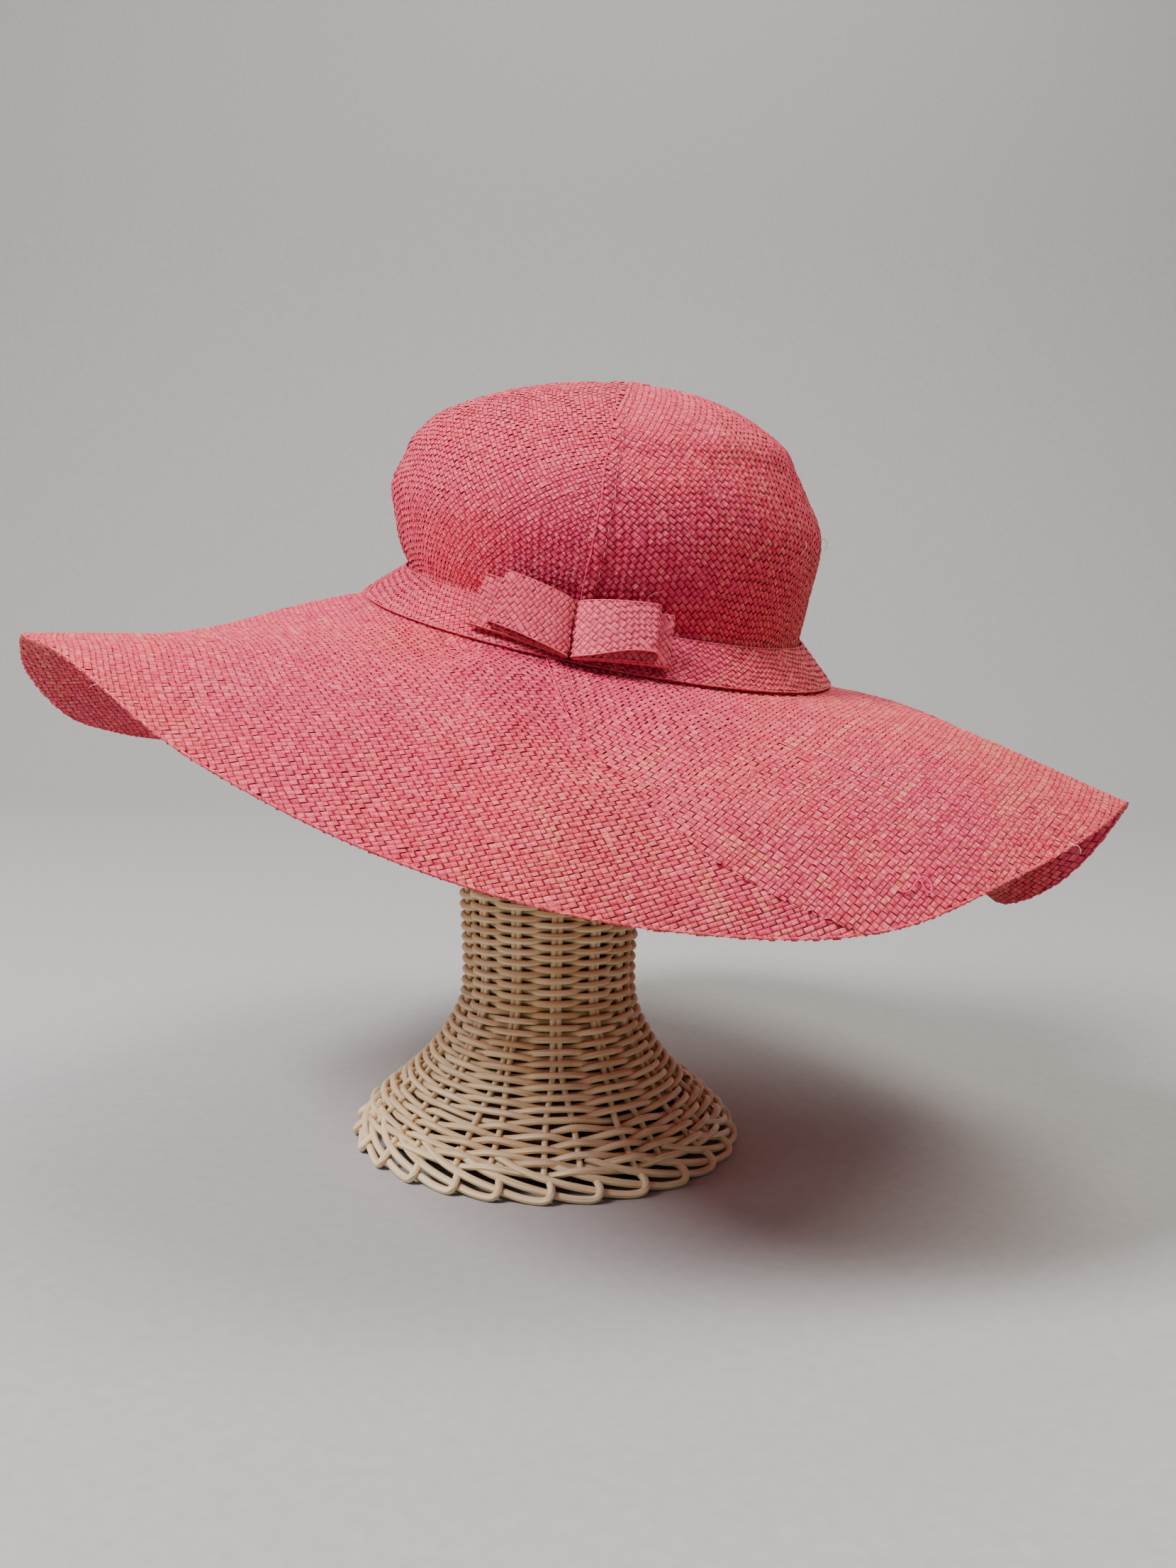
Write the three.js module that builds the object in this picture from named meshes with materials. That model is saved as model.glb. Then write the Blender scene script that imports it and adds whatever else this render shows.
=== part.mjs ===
import * as THREE from 'three';

// A floppy sun hat of woven raffia on a wicker hat stand. Sizes are in millimetres and angles in degrees.
// +Z is up, +X is to the right and -Y is the front. The origin is on the floor, in the middle of the
// outline. Azimuths turn about +Z from +X, so 270 is the front and 180 is the left side.

// Driving dimensions
const STRAW = 1.5; // thickness of the raffia cloth of crown and brim
const STRIP = 1.0; // thickness of the pressed strip of band and bow
const GAP = 0.35; // between pieces that touch
const STAND_AXIS = { x: -9.2, y: 5.0 }; // from the middle of the outline

// The hat sits off the stand's axis and has slipped down to the right and to the front.
const HAT = { x: 19.0, z: 224.7, sideTilt: 10.03, frontTilt: 5.0 };

// The band is a flat strip that lies as a cone round the foot of the crown.
const BAND = { topRadius: 86.8, bottomRadius: 102.5, height: 14.3 };
const BAND_SIDES = 72;
// The cloth hidden under the band, where the crown is sewn to the brim
const CROWN_FOOT = { radius: 87.5, z: 8.9 };
const BRIM_START = { radius: 88.2, z: 8.3 };
const BRIM_SHOW = { radius: 102.2, z: -1.5 };

// Crown sections from the band (along 0) to the top (along 1)
const CROWN_SECTIONS = [
  { along: 0.0, z: 14.3, radius: 85.3 },
  { along: 0.14, z: 28.2, radius: 89.6 },
  { along: 0.28, z: 42.7, radius: 92.4 },
  { along: 0.42, z: 56.3, radius: 90.6 },
  { along: 0.56, z: 68.0, radius: 86.5 },
  { along: 0.68, z: 77.2, radius: 80.2 },
  { along: 0.79, z: 87.9, radius: 69.9 },
  { along: 0.89, z: 99.8, radius: 43.0 },
  { along: 0.95, z: 104.6, radius: 21.0 },
  { along: 1.0, z: 105.6, radius: 0.0 },
];
// The crown leans to the left as it rises.
const CROWN_LEAN = { shift: -39.2, shiftBack: 33.8, tilt: -6.1 };
// Soft dents (lift below 0) and bulges of the crown
const CROWN_DENTS = [
  { azimuth: 180, along: 0.25, lift: -3.4 },
  { azimuth: 180, along: 0.5, lift: -4.1 },
  { azimuth: 0, along: 0.15, lift: 0.6 },
  { azimuth: 0, along: 0.4, lift: 4.0 },
  { azimuth: 270, along: 0.75, lift: -2.7 },
];
const CROWN_DENT_SPREAD = { azimuth: 60, along: 0.13 };
const CROWN_DENT_START = 0.1; // the dents fade out below this, towards the band

// Brim folds: mean slope below the band's plane, how much the slope grows towards the edge, the sway of the
// slope in the middle, and the width of the brim from the band to the edge
const BRIM_FOLDS = [
  { azimuth: 0, slope: 28, bow: 10, sway: -7, width: 140 },
  { azimuth: 5, slope: 37.5, bow: 8, sway: -3, width: 140 },
  { azimuth: 12, slope: 39.5, bow: 7, sway: 0, width: 137 },
  { azimuth: 30, slope: 43, bow: 5, sway: 1, width: 131 },
  { azimuth: 90, slope: 44, bow: 9, sway: 0, width: 131 },
  { azimuth: 150, slope: 45, bow: 15, sway: 0, width: 130 },
  { azimuth: 165, slope: 44, bow: 12, sway: -2, width: 137 },
  { azimuth: 172, slope: 39, bow: 8, sway: -4, width: 144 },
  { azimuth: 178, slope: 33.5, bow: 4, sway: -7, width: 149 },
  { azimuth: 184, slope: 24.5, bow: -3, sway: -9, width: 149 },
  { azimuth: 190, slope: 18.5, bow: -13, sway: -3, width: 142 },
  { azimuth: 197, slope: 15, bow: -20, sway: 3, width: 136 },
  { azimuth: 208, slope: 12, bow: -17, sway: 8, width: 135 },
  { azimuth: 222, slope: 9.5, bow: -6, sway: 3, width: 135 },
  { azimuth: 240, slope: 17, bow: 14, sway: -1, width: 134 },
  { azimuth: 260, slope: 24, bow: 17, sway: -6, width: 132 },
  { azimuth: 280, slope: 27, bow: 34, sway: 7, width: 131 },
  { azimuth: 298, slope: 21.5, bow: 40, sway: 2, width: 136 },
  { azimuth: 312, slope: 14, bow: 39, sway: 0, width: 130 },
  { azimuth: 325, slope: 7.5, bow: 28, sway: -1, width: 128 },
  { azimuth: 338, slope: 5.5, bow: 19, sway: -5, width: 127 },
  { azimuth: 348, slope: 9, bow: 14, sway: -11, width: 131 },
  { azimuth: 355, slope: 12, bow: 11, sway: -10, width: 137 },
];
// Small hollows and ridges of the brim's front: reach is 0 at the band and 1 at the edge
const BRIM_DENTS = [
  { azimuth: 240, reach: 0.08, lift: -3.0, spread: 9, length: 0.12 },
  { azimuth: 250, reach: 0.22, lift: 2.4, spread: 6, length: 0.13 },
  { azimuth: 259, reach: 0.42, lift: 2.4, spread: 5, length: 0.15 },
  { azimuth: 269, reach: 0.64, lift: 1.8, spread: 5, length: 0.16 },
  { azimuth: 264, reach: 0.27, lift: -2.4, spread: 5, length: 0.14 },
  { azimuth: 271, reach: 0.45, lift: -2.4, spread: 5, length: 0.15 },
  { azimuth: 278, reach: 0.72, lift: -1.6, spread: 5, length: 0.18 },
  { azimuth: 284, reach: 0.26, lift: 2.6, spread: 8, length: 0.14 },
  { azimuth: 286, reach: 0.65, lift: 1.4, spread: 7, length: 0.13 },
];
const BRIM_MESH = { around: 84, across: 9, slopeSteps: 36 };
const CROWN_MESH = { around: 52, along: 13 };

// The bow lies along a plane that leans back at the band: x runs along the band and y up the plane. Each
// loop is given by the two corners of its outer fold. Lift is the height of a tier's back layer over the
// lowest one.
const BOW = { azimuth: 264.5, slantHeight: 10.6, tilt: 66, clearance: 4.75, bendDiameter: 215, layer: 2.3 };
const BOW_TIERS = [
  {
    node: 'bow_front', lift: 2.65, top: { x: -1.8, y: 12.0 }, bottom: { x: 0.2, y: -9.8 },
    loops: [
      { top: { x: -31.0, y: 19.6 }, bottom: { x: -33.5, y: -2.2 }, depth: 3.4, swell: 1.2 },
      { top: { x: 29.3, y: 18.0 }, bottom: { x: 32.4, y: -3.4 }, depth: 4.4, swell: 1.6 },
    ],
  },
  {
    node: 'bow_back', lift: 0, top: { x: -1.8, y: 11.8 }, bottom: { x: 0.2, y: -9.6 },
    loops: [
      { top: { x: -39.2, y: 18.4 }, bottom: { x: -42.4, y: -1.9 }, depth: 2.3, swell: 0 },
      { top: { x: 34.7, y: 16.8 }, bottom: { x: 37.1, y: -3.1 }, depth: 2.3, swell: 0 },
    ],
  },
];
// Steps along a loop's back layer and front layer, and how soon its front layer parts from the back one
const LOOP_STEPS = {
  back: [0.02, 0.25, 0.5, 0.75, 0.95],
  front: [0.96, 0.8, 0.6, 0.4, 0.2],
  opening: 0.7,
  roundness: 0.8,
};

// The stand is a hollow turned shape. Its plaited border stands on the floor.
const STAND_WALL = 6.5;
const STAND_SIDES = 36;
const BORDER_TOP = 7.5;
const NECK_TOP = 150;
const BORDER_SECTION = [
  { radius: 76.0, z: 0 },
  { radius: 82.6, z: 0 },
  { radius: 85.6, z: 2.2 },
  { radius: 85.8, z: 4.2 },
  { radius: 84.4, z: BORDER_TOP },
  { radius: 77.0, z: BORDER_TOP },
  { radius: 75.2, z: 4.0 },
];
// Outer radius at each height: first the flared foot and the neck, then the head form that carries the hat
const BODY_SECTIONS = [
  { z: BORDER_TOP + GAP, radius: 83.4 },
  { z: 11.6, radius: 81.8 },
  { z: 15.9, radius: 77.6 },
  { z: 20.6, radius: 72.3 },
  { z: 25.1, radius: 66.9 },
  { z: 29.7, radius: 61.9 },
  { z: 34.4, radius: 57.4 },
  { z: 39.1, radius: 53.4 },
  { z: 43.7, radius: 50.0 },
  { z: 48.5, radius: 46.9 },
  { z: 55.0, radius: 43.2 },
  { z: 63.0, radius: 40.2 },
  { z: 75.0, radius: 39.0 },
  { z: 97.0, radius: 39.9 },
  { z: 122.0, radius: 41.5 },
  { z: NECK_TOP, radius: 45.0 },
];
const HEAD_SECTIONS = [
  { z: NECK_TOP + GAP, radius: 45.2 },
  { z: 166.0, radius: 49.6 },
  { z: 184.0, radius: 53.8 },
  { z: 206.0, radius: 56.6 },
  { z: 232.0, radius: 57.6 },
  { z: 261.5, radius: 56.4 },
  { z: 287.0, radius: 51.2 },
  { z: 306.0, radius: 41.8 },
  { z: 318.6, radius: 29.2 },
  { z: 325.0, radius: 15.4 },
  { z: 326.7, radius: 0.0 },
];

const radians = THREE.MathUtils.degToRad;
const lerp = THREE.MathUtils.lerp;

// A smooth curve through the rows of a table, for each named column. A period closes the table on itself.
function tableCurve(rows, key, columns, period = 0) {
  const first = rows[0];
  const last = rows[rows.length - 1];
  const moved = (row, by) => ({ ...row, [key]: row[key] + by });
  const all = period ? [moved(last, -period), ...rows, moved(first, period), moved(rows[1], period)] : rows;
  const chord = (i, column) => (all[i + 1][column] - all[i][column]) / (all[i + 1][key] - all[i][key]);
  const slopeAt = (i, column) => {
    if (i === 0) return chord(0, column);
    if (i === all.length - 1) return chord(i - 1, column);
    const before = all[i][key] - all[i - 1][key];
    const after = all[i + 1][key] - all[i][key];
    return (chord(i - 1, column) * after + chord(i, column) * before) / (before + after);
  };
  return (place) => {
    const at = period ? ((place % period) + period) % period : place;
    let i = 0;
    while (i < all.length - 2 && all[i + 1][key] <= at) i += 1;
    const span = all[i + 1][key] - all[i][key];
    const t = (at - all[i][key]) / span;
    const result = {};
    for (const column of columns) {
      const start = all[i][column] * (2 * t ** 3 - 3 * t ** 2 + 1);
      const end = all[i + 1][column] * (3 * t ** 2 - 2 * t ** 3);
      const startSlope = slopeAt(i, column) * span * (t ** 3 - 2 * t ** 2 + t);
      const endSlope = slopeAt(i + 1, column) * span * (t ** 3 - t ** 2);
      result[column] = start + end + startSlope + endSlope;
    }
    return result;
  };
}

function bell(distance, spread) {
  return Math.exp(-((distance / spread) ** 2));
}

function turnBetween(a, b) {
  return ((((a - b + 180) % 360) + 360) % 360) - 180;
}

function geometryFrom(points, triangles) {
  const geometry = new THREE.BufferGeometry();
  const numbers = points.flatMap((point) => [point.x, point.y, point.z]);
  geometry.setAttribute('position', new THREE.Float32BufferAttribute(numbers, 3));
  geometry.setIndex(triangles);
  geometry.computeVertexNormals();
  return geometry;
}

// A closed cloth shell from a grid of points over its outside. Rows go round, and columns go from the
// middle of the hat outwards. A shell with a tip starts in one point, whose outward direction is the tip.
function clothShell(grid, wall, tip) {
  const around = grid.length;
  const across = grid[0].length;
  const inside = grid.map((row, i) => row.map((point, j) => {
    const next = grid[(i + 1) % around][j];
    const previous = grid[(i + around - 1) % around][j];
    const round = new THREE.Vector3().subVectors(next, previous);
    const further = row[Math.min(j + 1, across - 1)];
    const nearer = row[Math.max(j - 1, 0)];
    const outward = new THREE.Vector3().subVectors(further, nearer);
    const normal = tip && j === 0 ? tip : outward.cross(round).normalize();
    return point.clone().addScaledVector(normal, -wall);
  }));
  const points = [...grid.flat(), ...inside.flat()];
  const at = (layer, i, j) => (layer * around + (tip && j === 0 ? 0 : i % around)) * across + j;
  const triangles = [];
  const quad = (a, b, c, d) => {
    if (a !== b) triangles.push(a, b, c);
    if (a !== d) triangles.push(a, c, d);
  };
  for (let i = 0; i < around; i += 1) {
    for (let j = 0; j < across - 1; j += 1) {
      quad(at(0, i, j), at(0, i, j + 1), at(0, i + 1, j + 1), at(0, i + 1, j));
      quad(at(1, i, j), at(1, i + 1, j), at(1, i + 1, j + 1), at(1, i, j + 1));
    }
    const edge = across - 1;
    quad(at(0, i + 1, edge), at(0, i, edge), at(1, i, edge), at(1, i + 1, edge));
    if (!tip) quad(at(0, i, 0), at(0, i + 1, 0), at(1, i + 1, 0), at(1, i, 0));
  }
  return geometryFrom(points, triangles);
}

// A closed strip swept along pairs of edge points, with its thickness towards the back
function stripSolid(pairs, wall) {
  const points = [];
  pairs.forEach(({ low, high }, i) => {
    const before = pairs[Math.max(i - 1, 0)];
    const after = pairs[Math.min(i + 1, pairs.length - 1)];
    const along = new THREE.Vector3().subVectors(after.low, before.low).add(after.high).sub(before.high);
    const across = new THREE.Vector3().subVectors(high, low);
    const back = new THREE.Vector3().crossVectors(across, along).normalize().multiplyScalar(wall);
    points.push(low, high, high.clone().add(back), low.clone().add(back));
  });
  const triangles = [];
  for (let i = 0; i < pairs.length - 1; i += 1) {
    for (let side = 0; side < 4; side += 1) {
      const a = 4 * i + side;
      const b = 4 * i + ((side + 1) % 4);
      triangles.push(a, b + 4, b, a, a + 4, b + 4);
    }
  }
  const last = 4 * (pairs.length - 1);
  triangles.push(0, 1, 2, 0, 2, 3, last, last + 2, last + 1, last, last + 3, last + 2);
  return geometryFrom(points, triangles);
}

function around(azimuth, radius, z) {
  return new THREE.Vector3(radius * Math.cos(radians(azimuth)), radius * Math.sin(radians(azimuth)), z);
}

// Crown
const crownSection = tableCurve(CROWN_SECTIONS, 'along', ['z', 'radius']);

function crownPoint(azimuth, along) {
  const section = crownSection(along);
  const smallStep = 0.004;
  const above = crownSection(Math.min(along + smallStep, 1));
  const below = crownSection(Math.max(along - smallStep, 0));
  const out = new THREE.Vector2(above.z - below.z, below.radius - above.radius).normalize();
  let lift = 0;
  for (const dent of CROWN_DENTS) {
    lift += dent.lift * bell(turnBetween(azimuth, dent.azimuth), CROWN_DENT_SPREAD.azimuth)
      * bell(along - dent.along, CROWN_DENT_SPREAD.along);
  }
  lift *= Math.min(1, along / CROWN_DENT_START);
  const point = around(azimuth, section.radius + out.x * lift, section.z + out.y * lift);
  const tilt = radians(CROWN_LEAN.tilt * along);
  const shift = CROWN_LEAN.shift * along + CROWN_LEAN.shiftBack * along ** 2;
  const level = section.z;
  return new THREE.Vector3(
    shift + point.x * Math.cos(tilt) + (point.z - level) * Math.sin(tilt),
    point.y,
    level - point.x * Math.sin(tilt) + (point.z - level) * Math.cos(tilt),
  );
}

function crownGeometry() {
  const grid = [];
  for (let i = 0; i < CROWN_MESH.around; i += 1) {
    const azimuth = (360 * i) / CROWN_MESH.around;
    const row = [];
    for (let j = CROWN_MESH.along; j >= 0; j -= 1) row.push(crownPoint(azimuth, j / CROWN_MESH.along));
    grid.push([...row, around(azimuth, CROWN_FOOT.radius, CROWN_FOOT.z)]);
  }
  return clothShell(grid, STRAW, new THREE.Vector3(0, 0, 1));
}

// Brim
const brimFold = tableCurve(BRIM_FOLDS, 'azimuth', ['slope', 'bow', 'sway', 'width'], 360);

function brimRow(azimuth) {
  const fold = brimFold(azimuth);
  const slopeAt = (reach) => {
    const offset = reach - 0.5;
    return radians(fold.slope + fold.bow * offset + fold.sway * (6 * offset ** 2 - 0.5));
  };
  const row = [BRIM_START, BRIM_SHOW].map((ring) => around(azimuth, ring.radius, ring.z));
  let { radius, z } = BRIM_SHOW;
  const { across, slopeSteps } = BRIM_MESH;
  for (let k = 1; k <= slopeSteps; k += 1) {
    const slope = slopeAt((k - 0.5) / slopeSteps);
    radius += (Math.cos(slope) * fold.width) / slopeSteps;
    z -= (Math.sin(slope) * fold.width) / slopeSteps;
    if (k % (slopeSteps / across) !== 0) continue;
    const reach = k / slopeSteps;
    const end = slopeAt(reach);
    let lift = 0;
    for (const dent of BRIM_DENTS) {
      lift += dent.lift * bell(turnBetween(azimuth, dent.azimuth), dent.spread)
        * bell(reach - dent.reach, dent.length);
    }
    row.push(around(azimuth, radius + Math.sin(end) * lift, z + Math.cos(end) * lift));
  }
  return row;
}

function brimGeometry() {
  const grid = [];
  for (let i = 0; i < BRIM_MESH.around; i += 1) grid.push(brimRow((360 * i) / BRIM_MESH.around));
  return clothShell(grid, STRAW, null);
}

// Band
const bandSlant = new THREE.Vector2(BAND.bottomRadius - BAND.topRadius, BAND.height);
const bandNormal = new THREE.Vector2(BAND.height, bandSlant.x).normalize();

function bandGeometry() {
  const outerTop = new THREE.Vector2(BAND.topRadius, BAND.height);
  const outerBottom = new THREE.Vector2(BAND.bottomRadius, 0);
  const innerTop = outerTop.clone().addScaledVector(bandNormal, -STRIP);
  const innerBottom = outerBottom.clone().addScaledVector(bandNormal, -STRIP);
  const section = [outerBottom, outerTop, innerTop, innerBottom, outerBottom];
  return new THREE.LatheGeometry(section, BAND_SIDES).rotateX(Math.PI / 2);
}

// Bow
function bowFrame() {
  const part = BOW.slantHeight / bandSlant.length();
  const origin = around(BOW.azimuth, lerp(BAND.bottomRadius, BAND.topRadius, part), BAND.height * part);
  const radial = around(BOW.azimuth, 1, 0);
  const tangent = around(BOW.azimuth + 90, 1, 0);
  const lean = Math.cos(radians(BOW.tilt));
  const rise = Math.sin(radians(BOW.tilt));
  const up = radial.clone().multiplyScalar(-lean).add(new THREE.Vector3(0, 0, rise));
  const out = radial.clone().multiplyScalar(rise).add(new THREE.Vector3(0, 0, lean));
  return (x, y, height) => {
    const onPlane = origin.clone().addScaledVector(tangent, x).addScaledVector(up, y);
    return onPlane.addScaledVector(out, height);
  };
}

// One loop as steps from the middle out to its fold along the back layer, and back along the front layer
function loopPath(loop) {
  const front = (far) => {
    const depth = lerp(BOW.layer, loop.depth, far ** LOOP_STEPS.opening);
    return depth + loop.swell * Math.sin(Math.PI * far ** LOOP_STEPS.roundness);
  };
  const path = LOOP_STEPS.back.map((far) => ({ far, over: 0 }));
  path.push({ far: 1.0, over: loop.depth / 2 });
  for (const far of LOOP_STEPS.front) path.push({ far, over: front(far) });
  return path;
}

function bowGeometry(tier) {
  const place = bowFrame();
  const edge = (middle, end, far, over) => {
    const x = lerp(middle.x, end.x, far);
    const height = BOW.clearance - x ** 2 / BOW.bendDiameter + tier.lift + over;
    return place(x, lerp(middle.y, end.y, far), height);
  };
  const pair = (loop, { far, over }) => ({
    low: edge(tier.bottom, loop.bottom, far, over),
    high: edge(tier.top, loop.top, far, over),
  });
  const [left, right] = tier.loops;
  const pairs = loopPath(left).map((step) => pair(left, step));
  pairs.push(pair(left, { far: 0, over: BOW.layer }));
  pairs.push(...loopPath(right).map((step) => pair(right, step)).reverse());
  return stripSolid(pairs, STRIP);
}

// Stand
function profileFrom(rows) {
  return rows.map((row) => new THREE.Vector2(row.radius, row.z));
}

function turned(profile) {
  return new THREE.LatheGeometry(profile, STAND_SIDES).rotateX(Math.PI / 2);
}

// A wall of even thickness inside a profile that runs upwards. A closed top ends on the axis.
function wallProfile(rows, closedTop) {
  const outer = profileFrom(rows);
  const end = outer.length - 1;
  const inner = outer.map((point, i) => {
    const before = outer[Math.max(i - 1, 0)];
    const after = outer[Math.min(i + 1, end)];
    const normal = new THREE.Vector2(after.y - before.y, before.x - after.x).normalize();
    return point.clone().addScaledVector(normal, -STAND_WALL);
  });
  inner[0].y = outer[0].y;
  if (closedTop) {
    inner[end].set(0, outer[end].y - STAND_WALL);
    return [...inner.reverse(), ...outer];
  }
  inner[end].y = outer[end].y;
  return [...outer, ...inner.reverse(), outer[0]];
}

function borderProfile() {
  const section = profileFrom(BORDER_SECTION);
  return [...section, section[0]];
}

const raffia = new THREE.MeshStandardMaterial({ color: 0xd4607a, roughness: 0.75, metalness: 0 });
const strip = new THREE.MeshStandardMaterial({ color: 0xcf6a78, roughness: 0.72, metalness: 0 });
const wicker = new THREE.MeshStandardMaterial({ color: 0xc79a66, roughness: 0.55, metalness: 0 });

function mesh(name, geometry, material) {
  const piece = new THREE.Mesh(geometry, material.clone());
  piece.name = name;
  return piece;
}

const hat = new THREE.Group();
hat.add(mesh('crown', crownGeometry(), raffia));
hat.add(mesh('brim', brimGeometry(), raffia));
hat.add(mesh('band', bandGeometry(), strip));
for (const tier of BOW_TIERS) hat.add(mesh(tier.node, bowGeometry(tier), strip));
hat.position.set(HAT.x, 0, HAT.z);
hat.rotation.set(radians(HAT.frontTilt), radians(HAT.sideTilt), 0, 'YXZ');

const stand = new THREE.Group();
stand.add(mesh('stand_body', turned(wallProfile(BODY_SECTIONS, false)), wicker));
stand.add(mesh('stand_head', turned(wallProfile(HEAD_SECTIONS, true)), wicker));
stand.add(mesh('stand_border', turned(borderProfile()), wicker));

const part = new THREE.Group();
part.add(hat, stand);
part.position.set(STAND_AXIS.x, STAND_AXIS.y, 0);

export default part;
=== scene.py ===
# A floppy sun hat of woven raffia on a wicker hat stand.
# The frame is in metres. The sizes below are in millimetres and degrees, and the hat's own are measured in
# the hat's frame, whose origin is in the middle of the band's lower edge. Azimuths turn about +Z from +X, so
# 270 is the front and 180 the left side.
import math

import bpy
import numpy as np
from mathutils import Matrix, Vector


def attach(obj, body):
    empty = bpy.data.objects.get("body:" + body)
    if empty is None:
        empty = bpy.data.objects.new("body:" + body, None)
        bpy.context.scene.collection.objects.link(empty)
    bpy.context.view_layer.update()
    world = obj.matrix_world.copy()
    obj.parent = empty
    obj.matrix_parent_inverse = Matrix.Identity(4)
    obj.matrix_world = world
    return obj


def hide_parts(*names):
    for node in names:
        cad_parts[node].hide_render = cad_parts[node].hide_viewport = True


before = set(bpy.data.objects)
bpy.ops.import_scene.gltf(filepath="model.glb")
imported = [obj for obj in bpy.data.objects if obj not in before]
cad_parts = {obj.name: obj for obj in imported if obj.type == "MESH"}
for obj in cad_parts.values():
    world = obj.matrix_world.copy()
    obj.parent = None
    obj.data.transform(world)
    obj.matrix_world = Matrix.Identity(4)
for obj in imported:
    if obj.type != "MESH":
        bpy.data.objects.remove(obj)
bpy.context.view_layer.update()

BODY = "root"
MM = 0.001

# Where the hat and the stand are
STAND_AXIS = (-9.2, 5.0)
HAT = {"x": 19.0, "z": 224.7, "side_tilt": 10.03, "front_tilt": 5.0}

# The camera, worked out for a picture of this height in pixels
PICTURE = {"height": 2212, "focal": 2134.2}
CAMERA = {"place": (0.0066, -0.6549, 0.2456), "pitch": 0.131, "roll": 0.0221, "sensor": 36.0}

# The hat's forms, with the same tables as its solids
STRAW = 1.5
STRIP = 1.0
BAND = {"top": (86.8, 14.3), "bottom": (102.5, 0.0)}
CROWN_FOOT = (87.5, 8.9)
CROWN_SECTIONS = {
    "along": (0, 0.14, 0.28, 0.42, 0.56, 0.68, 0.79, 0.89, 0.95, 1),
    "z": (14.3, 28.2, 42.7, 56.3, 68.0, 77.2, 87.9, 99.8, 104.6, 105.6),
    "radius": (85.3, 89.6, 92.4, 90.6, 86.5, 80.2, 69.9, 43.0, 21.0, 0),
}
CROWN_LEAN = {"shift": -39.2, "shift_back": 33.8, "tilt": -6.1}
# (azimuth, along, lift, spread, length)
CROWN_DENTS = (
    (180, 0.25, -3.4, 60, 0.13),
    (180, 0.5, -4.1, 60, 0.13),
    (0, 0.15, 0.6, 60, 0.13),
    (0, 0.4, 4.0, 60, 0.13),
    (270, 0.75, -2.7, 60, 0.13),
)
CROWN_DENT_START = 0.1  # the dents fade out below this, towards the band
CROWN_REACH = 1.06  # where the crown's cloth ends inside the band, with 0 at the very top

BRIM_START = (88.2, 8.3)
BRIM_SHOW = (102.2, -1.5)
BRIM_REACH = (-0.13, 1.08)  # the modelled part of the brim, where 0 is at the band and 1 at the edge
BRIM_FOLDS = {
    "azimuth": (0, 5, 12, 30, 90, 150, 165, 172, 178, 184, 190, 197, 208, 222, 240, 260, 280, 298, 312, 325,
                338, 348, 355),
    "slope": (28, 37.5, 39.5, 43, 44, 45, 44, 39, 33.5, 24.5, 18.5, 15, 12, 9.5, 17, 24, 27, 21.5, 14, 7.5,
              5.5, 9, 12),
    "bow": (10, 8, 7, 5, 9, 15, 12, 8, 4, -3, -13, -20, -17, -6, 14, 17, 34, 40, 39, 28, 19, 14, 11),
    "sway": (-7, -3, 0, 1, 0, 0, -2, -4, -7, -9, -3, 3, 8, 3, -1, -6, 7, 2, 0, -1, -5, -11, -10),
    "width": (140, 140, 137, 131, 131, 130, 137, 144, 149, 149, 142, 136, 135, 135, 134, 132, 131, 136, 130,
              128, 127, 131, 137),
}
# (azimuth, reach, lift, spread, length)
BRIM_DENTS = (
    (240, 0.08, -3.0, 9, 0.12),
    (250, 0.22, 2.4, 6, 0.13),
    (259, 0.42, 2.4, 5, 0.15),
    (269, 0.64, 1.8, 5, 0.16),
    (264, 0.27, -2.4, 5, 0.14),
    (271, 0.45, -2.4, 5, 0.15),
    (278, 0.72, -1.6, 5, 0.18),
    (284, 0.26, 2.6, 8, 0.14),
    (286, 0.65, 1.4, 7, 0.13),
)

# The brim is cut from flat cloth as part of a ring round this middle, and joined along the front seam.
BRIM_CUT = {"share": 0.8, "grain_azimuth": 85, "widest": 152}
BRIM_SEAM = {"reach": (-0.13, 0.0, 0.2, 0.38, 0.52, 0.78, 0.9, 1.0),
             "azimuth": (257, 260, 265.5, 270, 275, 283, 289.5, 296)}
BRIM_LAP_EDGE = {"reach": (0.03, 0.18, 0.29, 0.38), "azimuth": (264.4, 268.0, 270.0, 270.1)}
CROWN_SEAM = {"along": (0, 0.25, 0.45, 0.73, 0.87, 1.0), "azimuth": (264, 269, 271, 270, 267, 262)}
CROWN_BACK_SEAM = 88
CROWN_PATCH = {"reach": 16.0, "half_width": 5.4, "lift": 0.9}
# At a seam one cloth lies over the other: how high and wide the laps are in front and at the back
LAP = {"lift": 1.1, "wide": 6.0, "brim_end": 0.42, "under": 1.6, "back": 0.7, "back_wide": 6.0, "spare": 0.2}
# How a crown panel is laid flat. top is the radius, at the band, of the disc that its places are found on.
CROWN_FLAT = {"rows": 36, "columns": 18, "margin": 5.0, "top": 1.1, "step": 1.5, "rounds": 60}
# The first guess at its flat shape
CROWN_GUESS = {"slant": 0.55, "size": 160.0, "top": 1.08}

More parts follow.
